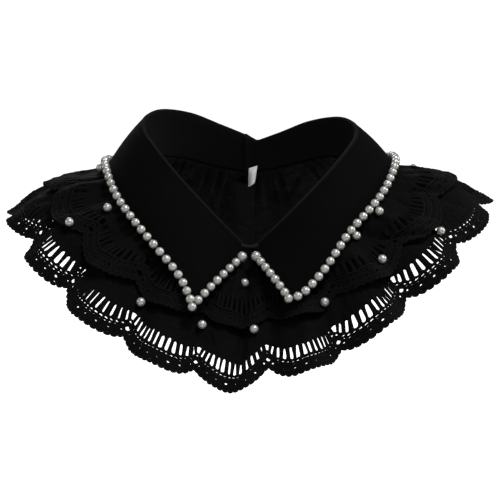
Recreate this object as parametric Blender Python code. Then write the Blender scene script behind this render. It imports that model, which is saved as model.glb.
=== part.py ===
"""Detachable lace collar, modelled hollow, as it sits round a neck.

A pointed turn-down collar of smooth cloth, edged with pearls, stands over two gathered tiers
with scalloped lace hems. It opens at the centre back. The wearer faces -Y, and +Z is up.
The origin is the middle of the neck opening, level with the neck seam at the sides.

All sizes below are millimetres. Angles are degrees round the neck: 0 is the centre front,
+90 is the side at +X, and +180 and -180 are the two edges of the back opening.
"""
import math
from functools import lru_cache

import bmesh
import bpy
from mathutils import Matrix, Vector
from mathutils.geometry import delaunay_2d_cdt

MM = 0.001
SHARP_ANGLE = 40.0
WELD_DISTANCE = 1e-5
SEAM_GAP = 0.3
ORIGIN_HEIGHT = 45.0

# The neck seam and the fold of the collar, every 20 degrees from the centre front to the back.
NECK_COLUMNS = ("angle", "seam_x", "seam_y", "seam_z", "fold_x", "fold_y", "fold_z")
NECK_ROWS = (
    (0, 0.0, -60.0, -6.0, 0.0, -62.0, 0.0),
    (20, 25.0, -56.0, 9.0, 28.0, -57.0, 27.0),
    (40, 48.0, -45.0, 25.0, 53.0, -42.0, 51.0),
    (60, 64.0, -29.0, 36.0, 70.0, -20.0, 67.5),
    (80, 72.0, -10.0, 44.0, 77.0, -3.0, 76.0),
    (100, 72.0, 9.0, 49.0, 75.0, 12.0, 82.0),
    (120, 64.0, 26.0, 52.0, 64.0, 27.0, 83.5),
    (140, 48.0, 39.0, 48.5, 44.0, 39.0, 78.0),
    (160, 26.0, 47.0, 41.5, 23.0, 46.0, 68.0),
    (180, 0.0, 50.0, 36.0, 0.0, 50.0, 58.0),
)
FOLD_LEAN = 2.5
BACK_LIFT = 5.1
BACK_LIFT_START = 90.0
LAP_ANGLE = 4.7

# How steeply the tiers fall, below the horizontal, near the neck and at the hem, and how far
# each reaches along the cloth from the neck seam to the lowest point of its scallops. The lower
# tier is a little longer at the side at -X.
DRAPE_COLUMNS = (
    "angle",
    "slope_at_neck",
    "slope_at_hem",
    "lower_left",
    "lower_right",
    "upper",
)
DRAPE_ROWS = (
    (0, 36.0, 36.0, 118.0, 118.0, 67.0),
    (20, 38.0, 38.0, 119.0, 117.0, 75.0),
    (40, 29.0, 38.0, 117.0, 111.0, 81.0),
    (60, 17.0, 35.0, 110.0, 108.0, 79.0),
    (80, 6.0, 35.0, 108.5, 108.0, 76.0),
    (100, 12.0, 36.0, 113.0, 111.0, 75.0),
    (120, 32.0, 43.0, 113.0, 112.0, 76.0),
    (140, 43.0, 50.0, 113.0, 113.0, 78.0),
    (160, 50.0, 56.0, 117.0, 117.0, 80.0),
    (180, 54.0, 60.0, 118.0, 118.0, 80.0),
)
KNEE_START = 60.0
KNEE_END = 90.0
PROFILE_STEP = 2.0
HEM_LEAN = 4.5

# The lower hem is caught up where two scallops meet, a little to +X of the centre front.
FRONT_NOTCH = 9.0
NOTCH_ANGLE = 5.0
NOTCH_SPREAD = 5.0

# The two tiers: how far each reaches from the neck seam, and its scallops.
TIER_THICKNESS = 1.0
LOWER_REACH = 118.0
UPPER_REACH = 82.0
LOWER_SCALLOPS = 19
UPPER_SCALLOPS = 17
LOWER_ROWS = (0.0, 14.0, 34.0, 56.0, 80.0)
UPPER_ROWS = (0.0, 14.0, 30.0, 46.0)
COLUMNS_IN_SCALLOP = 6
SCALLOP_WIDTH = 50.0
SCALLOP_RISE = 12.0
END_TRIM = 0.008
FRONT_SHIFT = 4.6
SHIFT_ROUNDS = 12

# Ruffles: one wave to a scallop, growing towards the hem, and three small gathers near the neck.
RUFFLE_DEPTH = 7.5
RUFFLE_GROWTH = 1.2
UPPER_BULGE = 5.0
UNEVEN_COLUMNS = ("waves_round", "share", "start")
UNEVEN_ROWS = (
    (3, 0.25, 0.7),
    (7, 0.18, 2.0),
)
FRONT_DIP = 1.7
FRONT_DIP_ANGLE = 9.0
SIDE_ANGLE = 90.0
SIDE_CALM = 0.65
SIDE_CALM_ANGLE = 20.0
GATHERS_IN_SCALLOP = 3
GATHER_DEPTH = 0.8
GATHER_START = 14.0
GATHER_REACH = 50.0
TIER_CLEARANCE = 1.5
CLEARANCE_FULL_REACH = 20.0

# The slits of the lace: a fan in each scallop. The largest ones, in its middle, are cut through.
LOWER_SLITS = 10
UPPER_SLITS = 6
FAN_TOP = 27.0
FAN_BORDER = 14.0
SLIT_STEP_TOP = 4.2
SLIT_STEP_BOTTOM = 4.85
SLIT_WIDTH_TOP = 2.1
SLIT_WIDTH_BOTTOM = 2.7
SLIT_ARCH = 0.15

# The collar: where its edge rests on the tiers, for each place along its fold. The point at +X is
# blunter than the other.
COLLAR_THICKNESS = 1.6
FOLD_RADIUS = 1.3
FOLD_DEPTH = 1.04
FALL_BULGE = 3.0
BULGE_TILT = 60.0
STAND_LIFT = 2.3
RIGHT_BLUNT = 7.0
BLUNT_ANGLE = 4.5
WING_COLUMNS = ("angle", "edge_angle", "edge_reach", "lift")
LEFT_WING_ROWS = (
    (0, 16.8, 71.0, 10.5),
    (20, 24.0, 52.0, 9.0),
    (40, 37.0, 41.0, 8.5),
    (60, 54.0, 33.5, 8.0),
    (80, 75.0, 29.0, 8.0),
    (100, 98.0, 29.0, 8.0),
    (120, 119.0, 31.0, 8.0),
    (140, 140.0, 33.0, 8.5),
    (160, 160.0, 35.0, 8.5),
    (180, 180.0, 35.0, 8.5),
)
RIGHT_WING_ROWS = (
    (0, 11.8, 68.0, 12.5),
    (20, 24.0, 53.0, 10.5),
    (40, 38.0, 37.5, 8.5),
    (60, 56.0, 32.5, 8.0),
    (80, 76.0, 30.0, 8.0),
    (100, 98.0, 29.0, 8.0),
    (120, 119.0, 31.0, 8.0),
    (140, 140.0, 33.0, 8.5),
    (160, 160.0, 35.0, 8.5),
    (180, 180.0, 35.0, 8.5),
)
WING_STEP = 6.0
STAND_PARTS = 2
FALL_PARTS = 4

# Pearls.
PEARL_DIAMETER = 6.0
FRONT_PITCH = 8.5
SIDE_PITCH = 7.4
PEARL_CLEARANCE = 0.6
NORMAL_SPAN = 3.0
PEARL_SEGMENTS = 7
PEARL_RINGS = 5
STRING_START = 11.0
FRONT_EDGE_STEPS = 24
INNER_ANGLE = 6.0
INNER_PART = 0.94
EDGE_STEP = 1.0
BEAD_INSET = 1.0
BEAD_SIDES = 5
THREAD_RADIUS = 1.0
BEAD_LIFT = 0.3
PEARL_COLUMNS = ("tier", "angle", "reach")
PEARL_ROWS = (
    ("upper", -92.6, 35.0),
    ("upper", -60.0, 72.0),
    ("upper", -59.4, 43.0),
    ("lower", -32.6, 79.5),
    ("lower", -14.3, 72.5),
    ("upper", -1.0, 24.2),
    ("lower", 1.3, 67.5),
    ("upper", 23.7, 68.0),
    ("upper", 52.3, 41.0),
    ("upper", 41.0, 41.0),
    ("upper", 41.6, 68.0),
    ("lower", 61.5, 83.0),
    ("upper", 105.0, 52.0),
    ("lower", 130.0, 86.0),
    ("upper", 168.0, 50.0),
    ("lower", -128.0, 86.0),
    ("upper", -150.0, 50.0),
)

# Small parts.
LABEL_WIDTH = 7.0
LABEL_LENGTH = 15.0
LABEL_THICKNESS = 0.6
LABEL_OVERLAP = 3.0
LABEL_X = 2.2
LABEL_ANGLE = 172.0
LABEL_REST = 0.15
TACK_LENGTH = 12.0
TACK_HEIGHT = 3.0
TACK_THICKNESS = 1.2
TACK_FOOT = 0.5
TACK_ANGLE = 4.0
TACK_LEAN = 0.3
PLACKET_EDGES = (-11.0, -4.5, 0.0, 3.5)
PLACKET_START = 8.0
PLACKET_REACH = 94.0
PLACKET_STEP = 14.0
PLACKET_THICKNESS = 1.0
BACK_SPREAD = 1.3
BUTTON_DIAMETER = 8.0
BUTTON_THICKNESS = 2.0
BUTTON_SIDE = 6.5
BUTTON_SEGMENTS = 12
LOOP_ROOT = 3.0
LOOP_STEPS = 8
LOOP_CORD = 1.2


def table_value(rows, angle, column, mirror=0):
    """One column of a table at an angle, on a smooth curve through its evenly spaced rows.

    mirror says how the curve crosses the centre front: 1 level, -1 straight through, 0 free.
    """
    step = rows[1][0] - rows[0][0]
    place = min(abs(angle), 180.0) / step
    row = min(int(place), len(rows) - 2)
    t = place - row
    here = rows[row][column]
    after = rows[row + 1][column]
    before = rows[row - 1][column] if row > 0 else 2 * here - after
    if row == 0 and mirror:
        before = mirror * after
    beyond = rows[row + 2][column] if row + 2 < len(rows) else 2 * after - here
    square = 2 * before - 5 * here + 4 * after - beyond
    cube = 3 * here - before - 3 * after + beyond
    return 0.5 * (2 * here + (after - before) * t + square * t * t + cube * t ** 3)


def ease(value):
    """Smooth step from 0 to 1."""
    value = min(max(value, 0.0), 1.0)
    return value * value * (3 - 2 * value)


def outward(angle):
    """Level direction away from the neck at an angle."""
    turn = math.radians(angle)
    return Vector((math.sin(turn), -math.cos(turn), 0))


def ring_point(angle, name):
    """Point of the neck seam or of the fold ring."""
    first = NECK_COLUMNS.index(name + "_x")
    mirrors = (-1, 1, 1) if name == "seam" else (0, 0, 0)
    x, y, z = (table_value(NECK_ROWS, angle, first + i, mirrors[i]) for i in range(3))
    return Vector((math.copysign(x, angle), y, z))


def seam_point(angle):
    """Point of the neck seam."""
    return ring_point(angle, "seam")


def back_lift(angle):
    """How much higher the fold is at the back: the side at -X rises and the other laps over it."""
    if angle < 0:
        return BACK_LIFT * ease((-angle - BACK_LIFT_START) / (180 - BACK_LIFT_START))
    return BACK_LIFT * max(0.0, 1 - (180 - angle) / LAP_ANGLE)


def fold_point(angle):
    """Top of the collar's fold; the side at -X stands a little higher."""
    lean = FOLD_LEAN * math.sin(math.radians(angle))
    return ring_point(angle, "fold") + Vector((0, 0, back_lift(angle) - lean))


def drape_slope(angle, reach):
    """Slope of the tiers below the horizontal, in radians."""
    at_neck = table_value(DRAPE_ROWS, angle, DRAPE_COLUMNS.index("slope_at_neck"), 1)
    at_hem = table_value(DRAPE_ROWS, angle, DRAPE_COLUMNS.index("slope_at_hem"), 1)
    bend = ease((reach - KNEE_START) / (KNEE_END - KNEE_START))
    return math.radians(at_neck + (at_hem - at_neck) * bend)


@lru_cache(maxsize=None)
def drape_profile(angle):
    """Distance out and drop below the seam, at even steps along the cloth."""
    out = drop = 0.0
    places = [(out, drop)]
    for step in range(int(LOWER_REACH / PROFILE_STEP) + 3):
        slope = drape_slope(angle, (step + 0.5) * PROFILE_STEP)
        out += PROFILE_STEP * math.cos(slope)
        drop += PROFILE_STEP * math.sin(slope)
        places.append((out, drop))
    return places


def drape_point(angle, reach):
    """Point of the smooth form that the tiers lie on, before any ruffle."""
    places = drape_profile(angle)
    step = min(int(reach / PROFILE_STEP), len(places) - 2)
    part = reach / PROFILE_STEP - step
    out, drop = (a + (b - a) * part for a, b in zip(places[step], places[step + 1]))
    lean = HEM_LEAN * math.sin(math.radians(angle)) * reach / LOWER_REACH
    return seam_point(angle) + outward(angle) * out + Vector((0, 0, lean - drop))


def drape_normal(angle, reach):
    """Direction out of the cloth, in the upright plane through the angle."""
    slope = drape_slope(angle, reach)
    return outward(angle) * math.sin(slope) + Vector((0, 0, math.cos(slope)))


def scallop_angle(turn, count):
    """Angle of a place counted in scallops from the front one, which sits a little to -X."""
    pitch = 360.0 / count
    angle = turn * pitch
    for _ in range(SHIFT_ROUNDS):
        angle = turn * pitch - FRONT_SHIFT * (0.5 + 0.5 * math.cos(math.radians(angle)))
    return angle


def scallop_turn(angle, count):
    """Place in scallops at an angle: the inverse of scallop_angle."""
    return (angle + FRONT_SHIFT * (0.5 + 0.5 * math.cos(math.radians(angle)))) * count / 360.0


def gather(turn, reach):
    """Height of the small gathers, from -1 to 1, which die out away from the neck."""
    fade = ease((reach - GATHER_START) / (GATHER_REACH - GATHER_START))
    strength = ease(reach / GATHER_START) * (1 - fade)
    return strength * math.cos(2 * math.pi * GATHERS_IN_SCALLOP * turn)


def unevenness(angle):
    """How deep the ruffle is, about 1: the front scallop dips, and the shoulders lie calmer."""
    depth = 1.0
    for waves_round, share, start in UNEVEN_ROWS:
        depth += share * math.sin(waves_round * math.radians(angle) + start)
    depth -= FRONT_DIP * math.exp(-((angle + FRONT_SHIFT) / FRONT_DIP_ANGLE) ** 2)
    from_side = (abs(angle) - SIDE_ANGLE) / SIDE_CALM_ANGLE
    return depth * (1 - SIDE_CALM * math.exp(-from_side * from_side))


def ruffle(angle, reach):
    """Height of the lower tier's waves above the smooth form."""
    depth = RUFFLE_DEPTH * (reach / LOWER_REACH) ** RUFFLE_GROWTH
    turn = scallop_turn(angle, LOWER_SCALLOPS)
    return depth * unevenness(angle) * math.cos(2 * math.pi * turn)


def lower_height(angle, reach):
    """Height of the lower tier's middle above the smooth form."""
    turn = scallop_turn(angle, LOWER_SCALLOPS)
    return ruffle(angle, reach) + GATHER_DEPTH * gather(turn, reach)


def upper_height(angle, reach):
    """Height of the upper tier's middle: it follows the lower one, and bulges on its own."""
    turn = scallop_turn(angle, UPPER_SCALLOPS)
    apart = TIER_THICKNESS + SEAM_GAP
    apart += TIER_CLEARANCE * ease(reach / CLEARANCE_FULL_REACH)
    bulge = UPPER_BULGE * (reach / UPPER_REACH) ** 2 * (0.5 + 0.5 * math.cos(2 * math.pi * turn))
    own_gather = GATHER_DEPTH * max(0.0, gather(turn, reach))
    return ruffle(angle, reach) + apart + bulge + own_gather


def tier_point(tier, angle, reach, above=0.0):
    """Point at a height above the middle of a tier's cloth."""
    height = lower_height(angle, reach) if tier == "lower" else upper_height(angle, reach)
    return drape_point(angle, reach) + drape_normal(angle, reach) * (height + above)


def tier_normal(tier, angle, reach):
    """Direction square to the ruffled cloth itself."""
    spread = math.degrees(NORMAL_SPAN / (seam_point(90.0).x + reach))
    along = tier_point(tier, angle + spread, reach) - tier_point(tier, angle - spread, reach)
    near = tier_point(tier, angle, reach - NORMAL_SPAN)
    down = tier_point(tier, angle, reach + NORMAL_SPAN) - near
    return down.cross(along).normalized()


def hem_reach(full_reach, place):
    """Reach of the scalloped hem at a place from -0.5 to 0.5 across its scallop."""
    return full_reach - SCALLOP_RISE * (2 * place) ** 2


def slit_corners(full_reach, offset):
    """Corners of one slit of the fan, as (place across the scallop, reach)."""
    top = full_reach - FAN_TOP - SLIT_ARCH * offset ** 2
    bottom_middle = offset * SLIT_STEP_BOTTOM / SCALLOP_WIDTH
    bottom = hem_reach(full_reach, bottom_middle) - FAN_BORDER
    top_middle = offset * SLIT_STEP_TOP / SCALLOP_WIDTH
    top_half = SLIT_WIDTH_TOP / SCALLOP_WIDTH / 2
    bottom_half = SLIT_WIDTH_BOTTOM / SCALLOP_WIDTH / 2
    return (
        (top_middle - top_half, top),
        (top_middle + top_half, top),
        (bottom_middle + bottom_half, bottom),
        (bottom_middle - bottom_half, bottom),
    )


def inside(corners, x, y):
    """True where a point lies inside a convex outline."""
    sides = []
    for (ax, ay), (bx, by) in zip(corners, corners[1:] + corners[:1]):
        sides.append((bx - ax) * (y - ay) - (by - ay) * (x - ax))
    return min(sides) > 0 or max(sides) < 0


def fitted_reach(tier, angle, reach):
    """Reach on the cloth for a reach on the full-length pattern: the lace keeps its depth."""
    full = UPPER_REACH
    column = "upper"
    if tier == "lower":
        full = LOWER_REACH
        column = "lower_left" if angle < 0 else "lower_right"
    here = table_value(DRAPE_ROWS, angle, DRAPE_COLUMNS.index(column), 1)
    if tier == "lower":
        here -= FRONT_NOTCH * math.exp(-((angle - NOTCH_ANGLE) / NOTCH_SPREAD) ** 2)
    return reach + (here - full) * ease(reach / (full - FAN_TOP))


def scallop_repeat(full_reach, rows, slit_count):
    """One repeat of a tier, neck seam to hem, cut into triangles of (place, reach) points."""
    places = [i / COLUMNS_IN_SCALLOP - 0.5 for i in range(COLUMNS_IN_SCALLOP + 1)]
    points = [(place, reach) for reach in rows for place in places]
    hem_first = len(points)
    points += [(place, hem_reach(full_reach, place)) for place in places]
    edges = []
    for column in range(COLUMNS_IN_SCALLOP):
        edges.append((column, column + 1))
        edges.append((hem_first + column, hem_first + column + 1))
    row_length = len(places)
    for row in range(len(rows)):
        edges.append((row * row_length, (row + 1) * row_length))
        edges.append(((row + 1) * row_length - 1, (row + 2) * row_length - 1))
    slits = []
    for slit in range(slit_count):
        corners = slit_corners(full_reach, slit - (slit_count - 1) / 2)
        slits.append(corners)
        first = len(points)
        points += corners
        edges += [(first + i, first + (i + 1) % 4) for i in range(4)]
    flat = [Vector((place * SCALLOP_WIDTH, reach)) for place, reach in points]
    verts, _, faces, _, _, _ = delaunay_2d_cdt(flat, edges, [], 0, WELD_DISTANCE)
    found = [(vert.x / SCALLOP_WIDTH, vert.y) for vert in verts]
    kept = []
    for face in faces:
        x = sum(found[i][0] for i in face) / 3
        y = sum(found[i][1] for i in face) / 3
        column = min(int((x + 0.5) * COLUMNS_IN_SCALLOP), COLUMNS_IN_SCALLOP - 1)
        left = places[column]
        part = (x - left) * COLUMNS_IN_SCALLOP
        hem_left = hem_reach(full_reach, left)
        hem_here = hem_left + (hem_reach(full_reach, places[column + 1]) - hem_left) * part
        if y < hem_here and not any(inside(corners, x, y) for corners in slits):
            kept.append(tuple(face))
    return found, kept


def material(name, colour, roughness, metallic=0.0):
    """A Principled material."""
    made = bpy.data.materials.new(name)
    made.use_nodes = True
    shader = made.node_tree.nodes["Principled BSDF"]
    shader.inputs["Base Color"].default_value = (*colour, 1)
    shader.inputs["Roughness"].default_value = roughness
    shader.inputs["Metallic"].default_value = metallic
    return made


def add_object(name, shape, look):
    """Put a bmesh, in millimetres round the front of the neck, into the scene in metres."""
    bmesh.ops.translate(shape, verts=shape.verts, vec=(0, 0, -ORIGIN_HEIGHT))
    bmesh.ops.scale(shape, verts=shape.verts, vec=(MM, MM, MM))
    mesh = bpy.data.meshes.new(name)
    shape.to_mesh(mesh)
    shape.free()
    mesh.materials.append(look)
    mesh.shade_smooth()
    mesh.set_sharp_from_angle(angle=math.radians(SHARP_ANGLE))
    made = bpy.data.objects.new(name, mesh)
    bpy.context.scene.collection.objects.link(made)
    return made


def add_wall(name, points, faces, thickness, look, keep_side=0, end_normals=None):
    """A closed wall of even thickness about a sheet of points, faces wound as seen from outside.

    keep_side is +1 or -1 for a piece that must stay on its own side of the centre plane.
    end_normals gives the wall's direction at the points where it must end square.
    """
    sheet = bmesh.new()
    for point in points:
        sheet.verts.new(point)
    sheet.verts.ensure_lookup_table()
    sheet.verts.index_update()
    for face in faces:
        sheet.faces.new([sheet.verts[i] for i in face])
    sheet.normal_update()
    normals = [vert.normal.copy() for vert in sheet.verts]
    for index, normal in (end_normals or {}).items():
        normals[index] = normal
    wall = bmesh.new()
    outer, inner = [], []
    for vert, normal in zip(sheet.verts, normals):
        for side, row in ((0.5, outer), (-0.5, inner)):
            place = vert.co + normal * thickness * side
            if keep_side and place.x * keep_side < SEAM_GAP / 2:
                place.x = keep_side * SEAM_GAP / 2
            row.append(wall.verts.new(place))
    for face in faces:
        wall.faces.new([outer[i] for i in face])
        wall.faces.new([inner[i] for i in reversed(face)])
    for edge in sheet.edges:
        if edge.is_boundary:
            loop = edge.link_loops[0]
            a, b = loop.vert.index, loop.link_loop_next.vert.index
            wall.faces.new((outer[b], outer[a], inner[a], inner[b]))
    sheet.free()
    return add_object(name, wall, look)


def add_tier(name, tier, first, last, look):
    """Part of a tier: the scallops from one junction to another, counted from the front one."""
    lower = tier == "lower"
    full_reach = LOWER_REACH if lower else UPPER_REACH
    count = LOWER_SCALLOPS if lower else UPPER_SCALLOPS
    rows = LOWER_ROWS if lower else UPPER_ROWS
    slits = LOWER_SLITS if lower else UPPER_SLITS
    flat, triangles = scallop_repeat(full_reach, rows, slits)
    points, faces, known, end_normals = [], [], {}, {}
    scallop = first + 0.5
    while scallop < last:
        numbers = []
        for place, reach in flat:
            key = (round((scallop + place) * 1000), round(reach * 100))
            if key not in known:
                known[key] = len(points)
                turn = min(max(scallop + place, first + END_TRIM), last - END_TRIM)
                angle = scallop_angle(turn, count)
                fitted = fitted_reach(tier, angle, reach)
                if turn != scallop + place:
                    end_normals[len(points)] = drape_normal(angle, fitted)
                points.append(tier_point(tier, angle, fitted))
            numbers.append(known[key])
        faces += [tuple(numbers[i] for i in reversed(face)) for face in triangles]
        scallop += 1
    return add_wall(name, points, faces, TIER_THICKNESS, look, end_normals=end_normals)


def wing_point(rows, side, angle, part):
    """Point of the collar's fall, from its fold (0) to its edge (1)."""
    fold = fold_point(side * angle)
    edge_angle = table_value(rows, angle, WING_COLUMNS.index("edge_angle"))
    edge_reach = table_value(rows, angle, WING_COLUMNS.index("edge_reach"))
    lift = table_value(rows, angle, WING_COLUMNS.index("lift"))
    if side > 0:
        edge_reach -= RIGHT_BLUNT * math.exp(-(angle / BLUNT_ANGLE) ** 2)
    edge = drape_point(side * edge_angle, edge_reach)
    edge += drape_normal(side * edge_angle, edge_reach) * lift
    level = Vector((edge.x - fold.x, edge.y - fold.y, 0)).normalized()
    start = fold + level * FOLD_RADIUS - Vector((0, 0, FOLD_DEPTH))
    tilt = math.radians(BULGE_TILT)
    bulge = level * math.cos(tilt) + Vector((0, 0, math.sin(tilt)))
    middle = (start + edge) / 2 + bulge * FALL_BULGE
    rest = 1 - part
    return start * rest * rest + middle * 2 * rest * part + edge * part * part


def collar_section(rows, side, angle):
    """Section of a collar half at an angle: up the stand, over the fold and down the fall."""
    fold = fold_point(side * angle)
    fall = [wing_point(rows, side, angle, i / FALL_PARTS) for i in range(FALL_PARTS + 1)]
    foot = seam_point(side * angle) + Vector((0, 0, STAND_LIFT))
    across = Vector((fall[0].x - fold.x, fall[0].y - fold.y, 0))
    head = fold - across - Vector((0, 0, FOLD_DEPTH))
    stand = [foot.lerp(head, i / STAND_PARTS) for i in range(STAND_PARTS + 1)]
    return stand + [fold] + fall


def add_collar(name, rows, side, look):
    """One half of the turn-down collar, a folded wall."""
    steps = int(180 / WING_STEP)
    sections = [collar_section(rows, side, i * WING_STEP) for i in range(steps + 1)]
    width = len(sections[0])
    points = [point for section in sections for point in section]
    faces = []
    for step in range(steps):
        for part in range(width - 1):
            a = step * width + part
            quad = (a, a + width, a + width + 1, a + 1)
            faces.append(quad if side < 0 else tuple(reversed(quad)))
    return add_wall(name, points, faces, COLLAR_THICKNESS, look, side)


def bead_places(line, inner, start, pitch):
    """Places every pitch along a line, each with its direction and the way in from the edge."""
    places = []
    travelled = 0.0
    due = start
    for before, here, within in zip(line, line[1:], inner[1:]):
        length = (here - before).length
        along = (here - before).normalized()
        inward = within - here
        inward = (inward - along * inward.dot(along)).normalized()
        while due <= travelled + length:
            places.append((before + along * (due - travelled), along, inward))
            due += pitch
        travelled += length
    return places


def string_path(rows, side):
    """Places of the beads: down the front edge to the point, then along the edge to the back."""
    parts = [step / FRONT_EDGE_STEPS for step in range(FRONT_EDGE_STEPS + 1)]
    front = [wing_point(rows, side, 0.0, part) for part in parts]
    front_inner = [wing_point(rows, side, INNER_ANGLE, part) for part in parts]
    angles = [step * EDGE_STEP for step in range(int(180 / EDGE_STEP) + 1)]
    edge = [wing_point(rows, side, angle, 1.0) for angle in angles]
    edge_inner = [wing_point(rows, side, angle, INNER_PART) for angle in angles]
    length = sum((b - a).length for a, b in zip(front, front[1:]))
    spaces = round((length - STRING_START) / FRONT_PITCH)
    pitch = (length - STRING_START) / spaces
    places = bead_places(front, front_inner, STRING_START, pitch)[:spaces]
    corner = bead_places(edge, edge_inner, 0.0, SIDE_PITCH)
    corner = [place for place in corner if abs(place[0].x) > PEARL_DIAMETER / 2 + SEAM_GAP]
    places.append((corner[0][0], corner[0][1], corner[0][2] + places[-1][2]))
    places += corner[1:]
    path = []
    for spot, along, inward in places:
        up = along.cross(inward).normalized()
        if up.z < 0:
            up.negate()
        lift = COLLAR_THICKNESS / 2 + PEARL_DIAMETER / 2 + BEAD_LIFT
        path.append((spot + inward * BEAD_INSET + up * lift, up))
    return path


def join_rings(shape, rings):
    """Skin a row of rings into a closed tube."""
    sides = len(rings[0])
    for low, high in zip(rings, rings[1:]):
        for corner in range(sides):
            after = (corner + 1) % sides
            shape.faces.new((low[corner], low[after], high[after], high[corner]))
    shape.faces.new(list(reversed(rings[0])))
    shape.faces.new(rings[-1])
    bmesh.ops.recalc_face_normals(shape, faces=shape.faces)


def add_string(name, rows, side, look):
    """Beads that touch, as one turned solid along the collar's edge."""
    path = string_path(rows, side)
    radius = PEARL_DIAMETER / 2
    rings = []
    for index, (centre, up) in enumerate(path):
        before = path[max(index - 1, 0)][0]
        after = path[min(index + 1, len(path) - 1)][0]
        along = (after - before).normalized()
        if index == 0:
            rings.append((centre - along * radius, along, up, THREAD_RADIUS))
        rings.append((centre, along, up, radius))
        if index < len(path) - 1:
            gap = after - centre
            rings.append((centre + gap / 2, gap.normalized(), up, THREAD_RADIUS))
        else:
            rings.append((centre + along * radius, along, up, THREAD_RADIUS))
    shape = bmesh.new()
    made = []
    for centre, along, up, size in rings:
        across = along.cross(up).normalized()
        rise = across.cross(along)
        ring = []
        for corner in range(BEAD_SIDES):
            turn = 2 * math.pi * (corner + 0.5) / BEAD_SIDES
            ring.append(shape.verts.new(centre + (across * math.sin(turn) - rise * math.cos(turn)) * size))
        made.append(ring)
    join_rings(shape, made)
    return add_object(name, shape, look)


def add_pearl(name, look, tier, angle, reach):
    """A single pearl sewn on a tier."""
    above = TIER_THICKNESS / 2 + PEARL_CLEARANCE + PEARL_DIAMETER / 2
    centre = tier_point(tier, angle, reach) + tier_normal(tier, angle, reach) * above
    shape = bmesh.new()
    bmesh.ops.create_uvsphere(
        shape,
        u_segments=PEARL_SEGMENTS,
        v_segments=PEARL_RINGS,
        radius=PEARL_DIAMETER / 2,
    )
    bmesh.ops.translate(shape, verts=shape.verts, vec=centre)
    return add_object(name, shape, look)


def add_block(name, low, high, look):
    """A plain block between two corners."""
    shape = bmesh.new()
    bmesh.ops.create_cube(shape, size=1)
    size = high - low
    bmesh.ops.scale(shape, verts=shape.verts, vec=size)
    bmesh.ops.translate(shape, verts=shape.verts, vec=(low + high) / 2)
    return add_object(name, shape, look)


def back_angle(x, reach):
    """Angle of the place that lies x to one side of the back opening, at a reach."""
    degrees_off = abs(x) / (BACK_SPREAD + math.radians(reach * math.cos(drape_slope(180.0, reach))))
    return math.copysign(180 - degrees_off, x)


def add_placket(look):
    """Strip under the back opening, sewn inside its left edge and reaching past the right one."""
    below = -(TIER_THICKNESS / 2 + SEAM_GAP + PLACKET_THICKNESS / 2 + GATHER_DEPTH)
    rows = math.ceil((PLACKET_REACH - PLACKET_START) / PLACKET_STEP)
    points = []
    for x in PLACKET_EDGES:
        for row in range(rows + 1):
            reach = PLACKET_START + (PLACKET_REACH - PLACKET_START) * row / rows
            angle = back_angle(x, reach)
            under = drape_normal(angle, reach) * (ruffle(angle, reach) + below)
            points.append(drape_point(angle, reach) + under)
    faces = []
    length = rows + 1
    for line in range(len(PLACKET_EDGES) - 1):
        for row in range(rows):
            a = line * length + row
            faces.append((a, a + 1, a + length + 1, a + length))
    return add_wall("back_placket", points, faces, PLACKET_THICKNESS, look)


def stand_point(side, angle, part, clear):
    """Point beside the stand: part of the way up it, and clear of its middle (outwards is +)."""
    rows = LEFT_WING_ROWS if side < 0 else RIGHT_WING_ROWS
    section = collar_section(rows, side, angle)
    return section[0].lerp(section[STAND_PARTS], part) + outward(side * angle) * clear


def add_label(look):
    """Blank tab that hangs from the neck seam inside the centre back."""
    face = stand_point(1, LABEL_ANGLE, LABEL_REST, -(COLLAR_THICKNESS / 2 + SEAM_GAP)).y
    top = seam_point(180.0).z + STAND_LIFT + LABEL_OVERLAP
    low = Vector((LABEL_X - LABEL_WIDTH / 2, face - LABEL_THICKNESS, top - LABEL_LENGTH))
    high = Vector((LABEL_X + LABEL_WIDTH / 2, face, top))
    return add_block("label", low, high, look)


def add_tack(look):
    """Short bar behind the centre front, which joins the two halves of the collar."""
    clear = -(COLLAR_THICKNESS / 2 + SEAM_GAP + TACK_LEAN)
    face = stand_point(1, TACK_ANGLE, 1.0, clear).y
    low = Vector((-TACK_LENGTH / 2, face, TACK_FOOT))
    high = Vector((TACK_LENGTH / 2, face + TACK_THICKNESS, TACK_FOOT + TACK_HEIGHT))
    return add_block("front_tack", low, high, look)


def button_centre():
    """Middle of the button's inner face, on the outside of the stand, left of the back opening."""
    angle = 180 - math.degrees(BUTTON_SIDE / seam_point(90.0).x)
    clear = COLLAR_THICKNESS / 2 + SEAM_GAP
    face = stand_point(-1, angle, 0.0, clear).y
    return Vector((-BUTTON_SIDE, face + SEAM_GAP, stand_point(-1, angle, 0.5, clear).z))


def add_button(look):
    """Small round button."""
    shape = bmesh.new()
    bmesh.ops.create_cone(
        shape,
        cap_ends=True,
        segments=BUTTON_SEGMENTS,
        radius1=BUTTON_DIAMETER / 2,
        radius2=BUTTON_DIAMETER / 2,
        depth=BUTTON_THICKNESS,
    )
    bmesh.ops.rotate(shape, verts=shape.verts, matrix=Matrix.Rotation(math.radians(90), 3, "X"))
    middle = button_centre() + Vector((0, BUTTON_THICKNESS / 2, 0))
    bmesh.ops.translate(shape, verts=shape.verts, vec=middle)
    return add_object("back_button", shape, look)


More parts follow.
